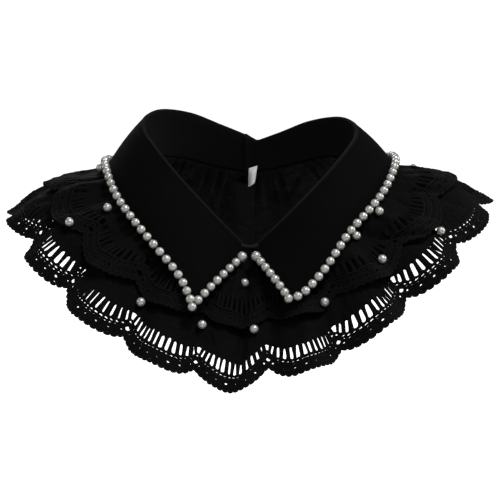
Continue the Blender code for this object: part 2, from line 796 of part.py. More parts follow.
def add_loop(look):
    """Thread loop from the other side of the opening, round the button."""
    centre = button_centre() + Vector((0, LOOP_CORD / 2, 0))
    radius = BUTTON_DIAMETER / 2 + SEAM_GAP + LOOP_CORD / 2
    root = BUTTON_SIDE + LOOP_ROOT
    route = [centre + Vector((root, 0, radius))]
    for step in range(LOOP_STEPS + 1):
        turn = math.radians(90 + 180 * step / LOOP_STEPS)
        route.append(centre + Vector((math.cos(turn), 0, math.sin(turn))) * radius)
    route.append(centre + Vector((root, 0, -radius)))
    shape = bmesh.new()
    rings = []
    for index, place in enumerate(route):
        before = route[max(index - 1, 0)]
        after = route[min(index + 1, len(route) - 1)]
        along = (after - before).normalized()
        across = along.cross(Vector((0, 1, 0)))
        ring = []
        for corner in range(BEAD_SIDES):
            turn = 2 * math.pi * corner / BEAD_SIDES
            spoke = across * math.sin(turn) + Vector((0, math.cos(turn), 0))
            ring.append(shape.verts.new(place + spoke * LOOP_CORD / 2))
        rings.append(ring)
    join_rings(shape, rings)
    return add_object("back_loop", shape, look)


def clear_scene():
    """Remove every object that the file opened with."""
    for old in list(bpy.data.objects):
        bpy.data.objects.remove(old)


def build():
    """The whole collar."""
    clear_scene()
    collar_cloth = material("collar_cloth", (0.012, 0.012, 0.014), 0.55)
    tier_cloth = material("tier_cloth", (0.014, 0.014, 0.015), 0.85)
    pearl = material("pearl", (0.86, 0.85, 0.82), 0.22)
    label_tape = material("label_tape", (0.88, 0.88, 0.86), 0.7)
    button = material("button", (0.02, 0.02, 0.022), 0.35)

    add_collar("collar_left", LEFT_WING_ROWS, -1, collar_cloth)
    add_collar("collar_right", RIGHT_WING_ROWS, 1, collar_cloth)
    add_tier("lower_tier_left", "lower", -LOWER_SCALLOPS / 2, 0.5, tier_cloth)
    add_tier("lower_tier_right", "lower", 0.5, LOWER_SCALLOPS / 2, tier_cloth)
    add_tier("upper_tier_left", "upper", -UPPER_SCALLOPS / 2, 0.5, tier_cloth)
    add_tier("upper_tier_right", "upper", 0.5, UPPER_SCALLOPS / 2, tier_cloth)
    add_string("pearl_edge_left", LEFT_WING_ROWS, -1, pearl)
    add_string("pearl_edge_right", RIGHT_WING_ROWS, 1, pearl)
    add_placket(tier_cloth)
    add_tack(collar_cloth)
    add_label(label_tape)
    add_button(button)
    add_loop(button)
    for number, row in enumerate(PEARL_ROWS, 1):
        add_pearl(f"pearl_{number:02d}", pearl, **dict(zip(PEARL_COLUMNS, row)))


build()
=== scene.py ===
# %% [markdown]
# A detachable lace collar, dressed with its cloth, its lace and its pearls.
#
# A detachable collar is worn round the neck without a blouse. This one has a pointed turn-down
# collar with pearls along its edge, and two gathered ruffles below it whose hems are crochet
# lace. The solids of the part are already in place, so every piece here is built on the same
# rules and lands on the same surface. The origin is the middle of the neck opening, the wearer
# faces -Y, and +Z is up. Sizes are in millimetres and become metres when a mesh is made.

# %% Load the frame
import math
import random
from functools import lru_cache

import bpy
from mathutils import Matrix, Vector
from mathutils.geometry import delaunay_2d_cdt


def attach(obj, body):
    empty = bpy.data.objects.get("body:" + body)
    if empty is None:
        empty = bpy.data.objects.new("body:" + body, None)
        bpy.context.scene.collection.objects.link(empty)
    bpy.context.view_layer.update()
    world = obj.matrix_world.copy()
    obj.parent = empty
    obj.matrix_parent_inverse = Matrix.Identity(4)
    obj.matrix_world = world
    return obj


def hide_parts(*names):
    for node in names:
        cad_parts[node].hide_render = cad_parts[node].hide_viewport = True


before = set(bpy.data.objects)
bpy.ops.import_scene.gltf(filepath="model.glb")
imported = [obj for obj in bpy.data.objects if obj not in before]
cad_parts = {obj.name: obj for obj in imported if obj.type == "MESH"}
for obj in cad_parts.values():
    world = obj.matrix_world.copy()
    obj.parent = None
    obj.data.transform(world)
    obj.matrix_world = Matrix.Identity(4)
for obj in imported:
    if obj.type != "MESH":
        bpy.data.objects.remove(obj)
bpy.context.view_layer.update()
MM = 0.001
SEAM_GAP = 0.3
ORIGIN_HEIGHT = 45.0

# %% [markdown]
# ## Camera, light and floor
# Black cloth shows its form only by soft highlights, so one broad soft lamp hangs above and in
# front, in a white room. Weaker lamps at both sides and behind part the edges from one another,
# and a small one near the camera puts the glint on every pearl. The lens is long and far away,
# because a short one close by would let the near hem balloon.

# %% Camera, lights and floor
CAMERA_HEIGHT_ANGLE = 12.0
CAMERA_DISTANCE = 1.5
PICTURE_WIDTH = 0.365
SENSOR_WIDTH = 36.0
TARGET = Vector((0.0, -0.005, -0.0565))
FLOOR_HEIGHT = -0.30
FLOOR_SIZE = 12.0
FLOOR_VALUES = {
    "Base Color": (0.8, 0.8, 0.8, 1),
    "Roughness": 0.9,
    "Specular IOR Level": 0.1,
    "Emission Color": (1, 1, 1, 1),
}
ROOM_DIM, ROOM_BRIGHT = 0.07, 1.0
FLOOR_DIM, FLOOR_BRIGHT = 0.08, 0.95
LAMP_ROWS = (  # name, place, size and watts
    ("lamp_key", (0.5, -0.4, 1.3), 0.5, 14.0),
    ("lamp_front", (-0.1, -1.2, 0.8), 0.16, 1.5),
    ("lamp_left", (-1.4, -0.1, 0.3), 0.5, 2.5),
    ("lamp_right", (1.4, 0.1, 0.45), 0.5, 6.0),
    ("lamp_back", (-0.3, 1.3, 0.7), 0.6, 6.0),
)

rise = math.radians(CAMERA_HEIGHT_ANGLE)
camera = bpy.data.objects.new("camera", bpy.data.cameras.new("camera"))
camera.data.sensor_width = SENSOR_WIDTH
camera.data.lens = SENSOR_WIDTH * CAMERA_DISTANCE / PICTURE_WIDTH
camera.location = TARGET + Vector((0, -math.cos(rise), math.sin(rise))) * CAMERA_DISTANCE
camera.rotation_euler = (math.pi / 2 - rise, 0, 0)
bpy.context.scene.collection.objects.link(camera)
bpy.context.scene.camera = camera


def add_node(tree, kind, place, **settings):
    """Add a node at a place, with its settings."""
    node = tree.nodes.new(kind)
    node.location = place
    for name, value in settings.items():
        setattr(node, name, value)
    return node


def add_lamp(name, place, size, watts):
    """A square soft lamp that looks at the collar."""
    lamp = bpy.data.lights.new(name, "AREA")
    lamp.energy = watts
    lamp.size = size
    holder = bpy.data.objects.new(name, lamp)
    holder.location = place
    holder.rotation_euler = (TARGET - Vector(place)).to_track_quat("-Z", "Y").to_euler()
    bpy.context.scene.collection.objects.link(holder)


for row in LAMP_ROWS:
    add_lamp(*row)


def white_to_camera(tree, strength, dim, bright):
    """Let a surface look white to the camera, yet light the room less than that."""
    ray = add_node(tree, "ShaderNodeLightPath", (-600, 0))
    amount = add_node(tree, "ShaderNodeMapRange", (-300, 0))
    amount.inputs["To Min"].default_value = dim
    amount.inputs["To Max"].default_value = bright
    tree.links.new(ray.outputs["Is Camera Ray"], amount.inputs["Value"])
    tree.links.new(amount.outputs["Result"], strength)


world = bpy.data.worlds.new("white_room")
world.use_nodes = True
background = world.node_tree.nodes["Background"]
background.inputs["Color"].default_value = (1, 1, 1, 1)
white_to_camera(world.node_tree, background.inputs["Strength"], ROOM_DIM, ROOM_BRIGHT)
bpy.context.scene.world = world
bpy.context.scene.view_settings.view_transform = "Standard"

bpy.ops.mesh.primitive_plane_add(size=FLOOR_SIZE, location=(0, 0, FLOOR_HEIGHT))
floor = bpy.context.object
floor.name = "floor"
floor_look = bpy.data.materials.new("floor_paper")
floor_look.use_nodes = True
paper = floor_look.node_tree.nodes["Principled BSDF"]
for socket, value in FLOOR_VALUES.items():
    paper.inputs[socket].default_value = value
white_to_camera(
    floor_look.node_tree, paper.inputs["Emission Strength"], FLOOR_DIM, FLOOR_BRIGHT
)
floor.data.materials.append(floor_look)
print("camera lens", round(camera.data.lens, 1), "mm")

# %% [markdown]
# ## The shape that everything lies on
# A collar is drafted round a neck, so its natural coordinates are an angle round the neck and a
# reach along the cloth from the neck seam. A short table holds the neck seam and the collar's
# fold at ten angles, and a smooth curve runs between its rows.

# %% Neck seam and fold
NECK_COLUMNS = ("angle", "seam_x", "seam_y", "seam_z", "fold_x", "fold_y", "fold_z")
NECK_ROWS = (
    (0, 0, -60, -6, 0, -62, 0),
    (20, 25, -56, 9, 28, -57, 27),
    (40, 48, -45, 25, 53, -42, 51),
    (60, 64, -29, 36, 70, -20, 67.5),
    (80, 72, -10, 44, 77, -3, 76),
    (100, 72, 9, 49, 75, 12, 82),
    (120, 64, 26, 52, 64, 27, 83.5),
    (140, 48, 39, 48.5, 44, 39, 78),
    (160, 26, 47, 41.5, 23, 46, 68),
    (180, 0, 50, 36, 0, 50, 58),
)
FOLD_LEAN = 2.5
BACK_LIFT = 5.1
BACK_LIFT_START = 90.0
LAP_ANGLE = 4.7


def table_value(rows, angle, column, mirror=0):
    """One column of a table at an angle, on a smooth curve through its evenly spaced rows."""
    step = rows[1][0] - rows[0][0]
    place = min(abs(angle), 180.0) / step
    row = min(int(place), len(rows) - 2)
    t = place - row
    here = rows[row][column]
    after = rows[row + 1][column]
    before = rows[row - 1][column] if row > 0 else 2 * here - after
    if row == 0 and mirror:
        before = mirror * after
    beyond = rows[row + 2][column] if row + 2 < len(rows) else 2 * after - here
    square = 2 * before - 5 * here + 4 * after - beyond
    cube = 3 * here - before - 3 * after + beyond
    return 0.5 * (2 * here + (after - before) * t + square * t * t + cube * t ** 3)


def ease(value):
    """Smooth step from 0 to 1."""
    value = min(max(value, 0.0), 1.0)
    return value * value * (3 - 2 * value)


def even_parts(count):
    """Even parts of a way, from 0 to 1."""
    return [step / count for step in range(count + 1)]


@lru_cache(maxsize=None)
def outward(angle):
    """Level direction away from the neck at an angle."""
    turn = math.radians(angle)
    return Vector((math.sin(turn), -math.cos(turn), 0))


@lru_cache(maxsize=None)
def ring_point(angle, name):
    """Point of the neck seam or of the fold ring."""
    first = NECK_COLUMNS.index(name + "_x")
    mirrors = (-1, 1, 1) if name == "seam" else (0, 0, 0)
    x, y, z = (table_value(NECK_ROWS, angle, first + i, mirrors[i]) for i in range(3))
    return Vector((math.copysign(x, angle), y, z))


def back_lift(angle):
    """How much higher the fold is at the back: the side at -X rises and the other laps over it."""
    if angle < 0:
        return BACK_LIFT * ease((-angle - BACK_LIFT_START) / (180 - BACK_LIFT_START))
    return BACK_LIFT * max(0.0, 1 - (180 - angle) / LAP_ANGLE)


def fold_point(angle):
    """Top of the collar's fold; the side at -X stands a little higher."""
    lean = FOLD_LEAN * math.sin(math.radians(angle))
    return ring_point(angle, "fold") + Vector((0, 0, back_lift(angle) - lean))


print("neck seam at the side", round(ring_point(90.0, "seam").x), "mm out")

# %% [markdown]
# ## From angle and reach to a point
# A second table says how steeply the cloth falls at each angle, near the neck and below the
# shoulder, and how far each tier reaches. The profile is walked in small steps along the cloth,
# so lengths stay true. With that, a pearl, a stitch or a hole in the lace is placed as on a
# flat paper pattern.

# %% Slope of the drape
DRAPE_COLUMNS = ("angle", "slope_at_neck", "slope_at_hem", "lower_left", "lower_right", "upper")
DRAPE_ROWS = (
    (0, 36, 36, 118, 118, 67),
    (20, 38, 38, 119, 117, 75),
    (40, 29, 38, 117, 111, 81),
    (60, 17, 35, 110, 108, 79),
    (80, 6, 35, 108.5, 108, 76),
    (100, 12, 36, 113, 111, 75),
    (120, 32, 43, 113, 112, 76),
    (140, 43, 50, 113, 113, 78),
    (160, 50, 56, 117, 117, 80),
    (180, 54, 60, 118, 118, 80),
)
KNEE_START = 60.0
KNEE_END = 90.0
PROFILE_STEP = 2.0
HEM_LEAN = 4.5
FRONT_NOTCH = 9.0
NOTCH_ANGLE = 5.0
NOTCH_SPREAD = 5.0
LOWER_REACH = 118.0
UPPER_REACH = 82.0
LOWER_SCALLOPS = 19
UPPER_SCALLOPS = 17
FRONT_SHIFT = 4.6
SHIFT_ROUNDS = 12
FAN_TOP = 27.0


def slopes(angle):
    """Slope of the cloth at the neck and at the hem."""
    at_neck = table_value(DRAPE_ROWS, angle, DRAPE_COLUMNS.index("slope_at_neck"), 1)
    at_hem = table_value(DRAPE_ROWS, angle, DRAPE_COLUMNS.index("slope_at_hem"), 1)
    return at_neck, at_hem


def drape_slope(angle, reach):
    """Slope of the tiers below the horizontal, in radians."""
    at_neck, at_hem = slopes(angle)
    bend = ease((reach - KNEE_START) / (KNEE_END - KNEE_START))
    return math.radians(at_neck + (at_hem - at_neck) * bend)


@lru_cache(maxsize=None)
def drape_profile(angle):
    """Distance out and drop below the seam, at even steps along the cloth."""
    out = drop = 0.0
    places = [(out, drop)]
    for step in range(int(LOWER_REACH / PROFILE_STEP) + 3):
        slope = drape_slope(angle, (step + 0.5) * PROFILE_STEP)
        out += PROFILE_STEP * math.cos(slope)
        drop += PROFILE_STEP * math.sin(slope)
        places.append((out, drop))
    return places


def drape_point(angle, reach):
    """Point of the smooth form that the tiers lie on, before any ruffle."""
    places = drape_profile(angle)
    step = min(int(reach / PROFILE_STEP), len(places) - 2)
    part = reach / PROFILE_STEP - step
    out, drop = (a + (b - a) * part for a, b in zip(places[step], places[step + 1]))
    lean = HEM_LEAN * math.sin(math.radians(angle)) * reach / LOWER_REACH
    return ring_point(angle, "seam") + outward(angle) * out + Vector((0, 0, lean - drop))


def drape_normal(angle, reach):
    """Direction out of the cloth, in the upright plane through the angle."""
    slope = drape_slope(angle, reach)
    return outward(angle) * math.sin(slope) + Vector((0, 0, math.cos(slope)))


@lru_cache(maxsize=None)
def scallop_angle(turn, count):
    """Angle of a place counted in scallops from the front one."""
    pitch = 360.0 / count
    angle = turn * pitch
    for _ in range(SHIFT_ROUNDS):
        angle = turn * pitch - FRONT_SHIFT * (0.5 + 0.5 * math.cos(math.radians(angle)))
    return angle


def scallop_turn(angle, count):
    """Place in scallops at an angle: the inverse of scallop_angle."""
    return (angle + FRONT_SHIFT * (0.5 + 0.5 * math.cos(math.radians(angle)))) * count / 360.0


print("front hem", round(-drape_point(0.0, LOWER_REACH).z), "mm below the fold")

# %% [markdown]
# ## Waves and gathers
# Cloth that is gathered into a short seam falls in waves of two sizes. Broad ruffles grow
# towards the hem, one to a scallop. Small gathers crowd at the seam and die out. Each is a
# height above the smooth form, and the heights add up.

# %% Waves and gathers
RUFFLE_DEPTH = 7.5
RUFFLE_GROWTH = 1.2
UNEVEN_ROWS = ((3, 0.25, 0.7), (7, 0.18, 2.0))  # waves round the neck, share and start
FRONT_DIP = 1.7
FRONT_DIP_ANGLE = 9.0
SIDE_ANGLE = 90.0
SIDE_CALM = 0.65
SIDE_CALM_ANGLE = 20.0
GATHERS_IN_SCALLOP = 3
GATHER_DEPTH = 1.15
GATHER_START = 9.0
GATHER_REACH = 46.0
GATHER_DRIFT = ((0.8, 1.7, 1), (0.5, 4.3, 2))  # share, waves and phases
LENGTH_SPREAD, LENGTH_WAVES = 0.3, 2.9
STRENGTH_MEAN, STRENGTH_SPREAD, STRENGTH_WAVES = 0.8, 0.35, 5.1
LOWER_PHASE, UPPER_PHASE = 0.4, 2.1


def unevenness(angle):
    """How deep the ruffle is, about 1: the front scallop dips, and the shoulders lie calmer."""
    depth = 1.0
    for waves_round, share, start in UNEVEN_ROWS:
        depth += share * math.sin(waves_round * math.radians(angle) + start)
    depth -= FRONT_DIP * math.exp(-((angle + FRONT_SHIFT) / FRONT_DIP_ANGLE) ** 2)
    from_side = (abs(angle) - SIDE_ANGLE) / SIDE_CALM_ANGLE
    return depth * (1 - SIDE_CALM * math.exp(-from_side * from_side))


def ruffle(angle, reach):
    """Height of the broad waves."""
    depth = RUFFLE_DEPTH * (reach / LOWER_REACH) ** RUFFLE_GROWTH
    turn = scallop_turn(angle, LOWER_SCALLOPS)
    return depth * unevenness(angle) * math.cos(2 * math.pi * turn)


def gather(turn, reach, phase):
    """Height of the small gathers, from -1 to 1: uneven, and dying out away from the neck."""
    drift = sum(
        share * math.sin(waves * turn + phases * phase) for share, waves, phases in GATHER_DRIFT
    )
    length = GATHER_REACH * (1 + LENGTH_SPREAD * math.sin(LENGTH_WAVES * turn + phase))
    fading = 1 - ease((reach - GATHER_START) / (length - GATHER_START))
    strength = ease(reach / GATHER_START) * fading
    strength *= STRENGTH_MEAN + STRENGTH_SPREAD * math.sin(STRENGTH_WAVES * turn + phase)
    return strength * math.cos(2 * math.pi * GATHERS_IN_SCALLOP * turn + drift)


print("ruffle at 45 degrees", round(ruffle(45.0, LOWER_REACH), 1), "mm high at the hem")

# %% [markdown]
# ## Creases, and how high each tier lies
# Long creases run where the cloth happened to settle. They are listed one by one, so that no two
# look alike. The upper tier is the lower one's height and a gap, its own bulge and creases,
# and it never sinks through what lies below it.

# %% Creases and the heights of the tiers
CREASES = {  # angle at the neck and at the hem, start, end, width and height
    "upper": (
        (-1, -2.5, 4, 76, 1.5, -4.6), (-5.5, -6, 8, 70, 1.8, 1.9), (4, 3, 10, 64, 1.7, 1.6),
        (9, 13, 30, 66, 1.5, -1.8), (17, 20, 34, 74, 1.8, 1.7), (-12, -15, 26, 68, 1.6, -2),
        (-20, -19, 38, 76, 1.8, 1.8), (-27, -33, 36, 78, 1.5, -2.6), (-36, -39, 34, 80, 1.7, 2),
        (27, 30, 36, 78, 1.5, -2.4), (33, 38, 34, 80, 1.8, 1.9), (42, 57, 24, 86, 1.4, -5),
        (47, 62, 26, 82, 1.9, 2.4), (38, 50, 30, 80, 1.6, 1.4), (-46, -50, 28, 60, 1.4, -2.8),
        (-54, -60, 30, 70, 1.6, 1.9), (-68, -64, 28, 78, 1.6, -2.4), (-77, -74, 22, 78, 1.6, 2.2),
        (-84, -79, 20, 76, 1.5, -2.8), (70, 74, 22, 78, 1.6, -3.2), (77, 80, 20, 74, 1.8, 2.6),
        (85, 87, 20, 72, 1.6, -2.8), (97, 93, 20, 72, 2, 2), (109, 113, 18, 72, 1.9, -2.4),
        (124, 121, 18, 74, 2, 2.2), (137, 141, 16, 70, 2, -2.4), (151, 149, 16, 76, 1.9, 2),
        (165, 168, 14, 72, 2, -2.2), (-96, -99, 18, 74, 1.9, 2.2), (-108, -105, 18, 72, 1.8, -2.4),
        (-121, -126, 16, 74, 2, 2.1), (-136, -133, 16, 70, 1.9, -2.5), (-149, -153, 16, 74, 2, 2),
        (-166, -163, 14, 72, 1.9, -2.2),
    ),
    "lower": (
        (-1.5, -2.5, 4, 108, 1.5, -4.8), (-7.5, -7, 50, 104, 1.7, 2.4), (4.5, 3, 54, 102, 1.6, 2.2),
        (11, 15, 56, 98, 1.5, -1.8), (-15, -18, 56, 98, 1.5, -2), (26, 24, 58, 96, 1.6, 1.8),
        (-27, -25, 58, 98, 1.6, 1.8), (-36, -40, 54, 98, 1.5, -2.4), (34, 38, 56, 96, 1.5, -2),
        (42, 58, 24, 98, 1.6, -5), (50, 66, 56, 100, 1.8, 2.4), (-50, -53, 52, 96, 1.5, -2.6),
        (-60, -66, 50, 96, 1.7, 2.2), (70, 74, 22, 100, 1.7, -3.4), (-74, -79, 46, 98, 1.6, -2.4),
        (-84, -79, 20, 76, 1.6, -2.8), (85, 87, 20, 98, 1.7, -2.8), (-92, -96, 46, 100, 1.8, 2),
        (97, 101, 44, 98, 1.8, 2.2), (109, 113, 20, 94, 1.9, -2.6), (-109, -106, 20, 96, 1.8, -2.4),
        (126, 131, 8, 90, 2, 2.6), (-124, -129, 8, 90, 1.9, 2.4), (137, 142, 6, 88, 1.7, -3),
        (-136, -140, 6, 88, 1.8, -3), (147, 153, 6, 84, 1.8, 2.8), (-147, -152, 6, 88, 1.7, 2.8),
        (157, 163, 5, 80, 1.6, -3), (-156, -162, 5, 84, 1.8, -3), (167, 171, 5, 82, 1.7, 2.6),
        (-167, -171, 5, 80, 1.6, 2.4), (-146, -158, 5, 62, 1.5, 3.2), (-157, -166, 5, 56, 1.3, 2.8),
        (-168, -172, 8, 60, 1.2, 2.4), (150, 168, 6, 42, 1.5, 3.2), (161, 174, 12, 46, 1.3, 2.8),
        (141, 151, 5, 60, 1.4, 2.6),
    ),
}
UPPER_BULGE = 5.0
TIER_THICKNESS = 1.0
TIER_CLEARANCE = 1.5
CLEARANCE_FULL_REACH = 20.0
BACK_GATHER = 2.3
BACK_START = 115.0
BACK_BLEND = 25.0
CREASE_SPAN = 3.0
CREASE_FULLNESS = 0.7
CRUMPLE_WAVES = (  # depth, and two waves by angle, reach and start
    (0.55, (0.33, 0.09, 0), (-0.21, 0.12, 1.3)),
    (0.275, (0.81, -0.17, 0.6), (0.47, 0.27, 0)),
)
CRUMPLE_START = 30.0


def creases(tier, angle, reach):
    """Height of the creases that are listed one by one."""
    height = 0.0
    for at_neck, at_hem, start, end, width, peak in CREASES[tier]:
        if start < reach < end:
            part = (reach - start) / (end - start)
            off = abs(angle - (at_neck + (at_hem - at_neck) * part)) / width
            if off < CREASE_SPAN:
                rise_here = math.sin(math.pi * part) ** CREASE_FULLNESS
                height += peak * rise_here * math.exp(-off * off)
    return height


def crumple(angle, reach):
    """Slight unevenness of cloth that was worn and washed."""
    height = 0.0
    for depth, *waves in CRUMPLE_WAVES:
        one, other = (math.sin(a * angle + r * reach + start) for a, r, start in waves)
        height += depth * (one * other)
    return height * ease(reach / CRUMPLE_START)


@lru_cache(maxsize=None)
def lower_height(angle, reach):
    """Height of the lower tier's middle above the smooth form."""
    turn = scallop_turn(angle, LOWER_SCALLOPS)
    deeper = 1 + BACK_GATHER * ease((abs(angle) - BACK_START) / BACK_BLEND)
    small = GATHER_DEPTH * deeper * gather(turn, reach, LOWER_PHASE)
    return ruffle(angle, reach) + small + creases("lower", angle, reach) + crumple(angle, reach)


@lru_cache(maxsize=None)
def upper_height(angle, reach):
    """Height of the upper tier's middle: it follows the lower one, and bulges on its own."""
    turn = scallop_turn(angle, UPPER_SCALLOPS)
    apart = TIER_THICKNESS + SEAM_GAP + TIER_CLEARANCE * ease(reach / CLEARANCE_FULL_REACH)
    bulge = UPPER_BULGE * (reach / UPPER_REACH) ** 2 * (0.5 + 0.5 * math.cos(2 * math.pi * turn))
    own = GATHER_DEPTH * max(0.0, gather(turn, reach, UPPER_PHASE)) + creases("upper", angle, reach)
    own += crumple(angle, reach)
    under = GATHER_DEPTH * gather(scallop_turn(angle, LOWER_SCALLOPS), reach, LOWER_PHASE)
    own = max(own, under + creases("lower", angle, reach) - 0.5 * apart)
    return ruffle(angle, reach) + apart + bulge + own


def tier_point(tier, angle, reach):
    """Point in the middle of a tier's cloth."""
    height = lower_height(angle, reach) if tier == "lower" else upper_height(angle, reach)
    return drape_point(angle, reach) + drape_normal(angle, reach) * height


def tier_normal(tier, angle, reach, span=1.5):
    """Direction square to the ruffled cloth itself."""
    spread = math.degrees(span / (ring_point(90.0, "seam").x + reach))
    along = tier_point(tier, angle + spread, reach) - tier_point(tier, angle - spread, reach)
    down = tier_point(tier, angle, reach + span) - tier_point(tier, angle, reach - span)
    return down.cross(along).normalized()


def fitted_reach(tier, angle, reach):
    """Reach on the cloth for a reach on the full-length pattern: the lace keeps its depth."""
    full, column = UPPER_REACH, "upper"
    if tier == "lower":
        full, column = LOWER_REACH, "lower_left" if angle < 0 else "lower_right"
    here = table_value(DRAPE_ROWS, angle, DRAPE_COLUMNS.index(column), 1)
    if tier == "lower":
        here -= FRONT_NOTCH * math.exp(-((angle - NOTCH_ANGLE) / NOTCH_SPREAD) ** 2)
    return reach + (here - full) * ease(reach / (full - FAN_TOP))


print("creases placed by hand:", {tier: len(rows) for tier, rows in CREASES.items()})

# %% [markdown]
# ## Node trees from short tables
# A node tree is a list of nodes and a list of links, so it reads best as two tables. One helper
# fills a tree from them, for the finishes here and for the cords and beads later. The first
# tree is a woven surface. Black cotton is never one flat black: its weave breaks the light into
# tiny threads, and its colour drifts in patches. The pattern reads Object coordinates, which
# stay with the cloth wherever it goes.

# %% Helper for node trees, and the shader group of woven cloth
NODE_SPACING = 220
WEAVE_INPUTS = {
    "Dark": (0.004, 0.004, 0.004, 1),
    "Light": (0.01, 0.01, 0.01, 1),
    "Threads per metre": 1600.0,
    "Slub": 0.4,
    "Patch size": 30.0,
}
WEAVE_OUTPUTS = {"Color": "Color", "Height": "Float", "Rough": "Float"}
BAND_VALUES = {"Distortion": 0.6, "Detail": 1.0}
MIX_COLORS = {"data_type": "RGBA"}
ADD, MULTIPLY = {"operation": "ADD"}, {"operation": "MULTIPLY"}


def find_socket(sockets, name):
    """A socket by its number, or by its name among those in use."""
    if name.isdigit():
        return sockets[int(name)]
    return next(socket for socket in sockets if socket.name == name and socket.enabled)


def wire(tree, nodes, links):
    """Fill a node tree from two tables, and return its nodes by name.

    A node is its name and kind, then its settings and the values of its inputs where it has any.
    A link is "node.socket > node.socket", with a number where several sockets share a name.
    """
    made = {"shader": tree.nodes.get("Principled BSDF")}
    for number, (name, kind, *extra) in enumerate(nodes):
        settings, values = (*extra, {}, {})[:2]
        place = (NODE_SPACING * (number - len(nodes)), NODE_SPACING * (number % 3))
        made[name] = add_node(tree, kind, place, **settings)
        for socket, value in values.items():
            find_socket(made[name].inputs, socket).default_value = value
    for link in links:
        (source, leaves), (target, enters) = (end.split(".") for end in link.split(" > "))
        start = find_socket(made[source].outputs, leaves)
        tree.links.new(start, find_socket(made[target].inputs, enters))
    return made


def make_weave_group():
    """Weave relief, fibre unevenness and patchy colour, from Object coordinates in metres."""
    tree = bpy.data.node_groups.new("weave", "ShaderNodeTree")
    for name, value in WEAVE_INPUTS.items():
        kind = "NodeSocketColor" if isinstance(value, tuple) else "NodeSocketFloat"
        tree.interface.new_socket(name, in_out="INPUT", socket_type=kind).default_value = value
    for name, kind in WEAVE_OUTPUTS.items():
        tree.interface.new_socket(name, in_out="OUTPUT", socket_type=f"NodeSocket{kind}")
    nodes = [
        ("in", "NodeGroupInput"),
        ("where", "ShaderNodeTexCoord"),
        *((axis, "ShaderNodeTexWave", {"bands_direction": axis}, BAND_VALUES) for axis in "XYZ"),
        ("slub", "ShaderNodeTexNoise", {}, {"Scale": 420.0, "Detail": 3.0}),
        ("patch", "ShaderNodeTexNoise", {}, {"Detail": 4.0}),
        ("crossing", "ShaderNodeMath", MULTIPLY),
        ("both", "ShaderNodeMath", ADD),
        ("slubbed", "ShaderNodeMath", MULTIPLY),
        ("total", "ShaderNodeMath", ADD),
        ("blend", "ShaderNodeMath", {"operation": "MULTIPLY_ADD"}, {"1": 0.3}),
        ("ramp", "ShaderNodeMapRange", {}, {"From Min": 0.35, "From Max": 1.25}),
        ("mix", "ShaderNodeMix", MIX_COLORS),
        ("rough", "ShaderNodeMapRange", {}, {"To Min": 0.62, "To Max": 0.9}),
        ("out", "NodeGroupOutput"),
    ]
    links = [f"where.Object > {node}.Vector" for node in ("X", "Y", "Z", "slub", "patch")]
    links += [f"in.Threads per metre > {axis}.Scale" for axis in "XYZ"]
    links += [
        "X.Fac > crossing.0", "Z.Fac > crossing.1", "crossing.0 > both.0", "Y.Fac > both.1",
        "slub.Fac > slubbed.0", "in.Slub > slubbed.1", "both.0 > total.0",
        "slubbed.0 > total.1", "in.Patch size > patch.Scale", "total.0 > blend.0",
        "patch.Fac > blend.2", "blend.0 > ramp.Value", "ramp.Result > mix.Factor",
        "in.Dark > mix.A", "in.Light > mix.B", "patch.Fac > rough.Value",
        "mix.Result > out.Color", "total.0 > out.Height", "rough.Result > out.Rough",
    ]
    wire(tree, nodes, links)
    return tree


WEAVE = make_weave_group()
print("shader group", WEAVE.name, "with", len(WEAVE.nodes), "nodes")

# %% [markdown]
# ## Cloth and thread finishes
# With the weave in one group, each cloth only sets its colours, its thread size and the depth of
# its relief. A faint sheen stands for the fibres that stick out and catch the light. Two things
# come on top where the cloth needs them: a lighter colour that follows the collar's own
# attribute, painting a highlight on the roll, painted light on the shaded stand and a paler
# outer edge; and broad shallow creases that washing leaves in thin cotton.

# %% Cloth materials
RELIEF = 0.5
SHEEN_ROUGHNESS = 0.4
SHEEN_TINT = (0.6, 0.6, 0.62, 1)
FOLD_VALUES = {"Scale": 60.0, "Detail": 2.0, "Distortion": 0.9}


def make_look(name, nodes, links, values):
    """A material from the tables of its nodes and links, and the values of its shader."""
    made = bpy.data.materials.new(name)
    made.use_nodes = True
    shader = wire(made.node_tree, nodes, links)["shader"]
    for socket, value in values.items():
        shader.inputs[socket].default_value = value
    return made


def cloth_look(
    name, dark, light, threads, slub, depth, specular, sheen, patch=30.0, painted_light_color=None, rumple=0.0
):
    """A cloth from the weave group, with its own colours, thread size and relief.

    The lighter colour given for painted light shows where the piece's own attribute asks for it:
    a painted highlight on a roll, painted light on a shaded stand, and a paler edge. rumple is the
    height of the small creases that washing leaves, in metres.
    """
    values = (*dark, 1), (*light, 1), threads, slub, patch
    nodes = [
        ("weave", "ShaderNodeGroup", {"node_tree": WEAVE}, dict(zip(WEAVE_INPUTS, values))),
        ("bump", "ShaderNodeBump", {}, {"Strength": RELIEF, "Distance": depth}),
    ]
    links = [
        "weave.Color > shader.Base Color", "weave.Rough > shader.Roughness",
        "weave.Height > bump.Height", "bump.Normal > shader.Normal",
    ]
    # the lighter colour is painted light, brought out by the piece's own attribute
    if painted_light_color:
        nodes += [
            ("wear", "ShaderNodeAttribute", {"attribute_name": "wear"}),
            ("rubbed", "ShaderNodeMix", MIX_COLORS, {"B": (*painted_light_color, 1)}),
        ]
        links[0] = "rubbed.Result > shader.Base Color"
        links += ["wear.Fac > rubbed.Factor", "weave.Color > rubbed.A"]
    if rumple:
        nodes += [
            ("where", "ShaderNodeTexCoord"),
            ("folds", "ShaderNodeTexNoise", {}, FOLD_VALUES),
            ("broad", "ShaderNodeBump", {}, {"Distance": rumple}),
        ]
        links += [
            "where.Object > folds.Vector", "folds.Fac > broad.Height",
            "broad.Normal > bump.Normal",
        ]
    return make_look(name, nodes, links, {
        "Specular IOR Level": specular,
        "Sheen Weight": sheen,
        "Sheen Roughness": SHEEN_ROUGHNESS,
        "Sheen Tint": SHEEN_TINT,
    })


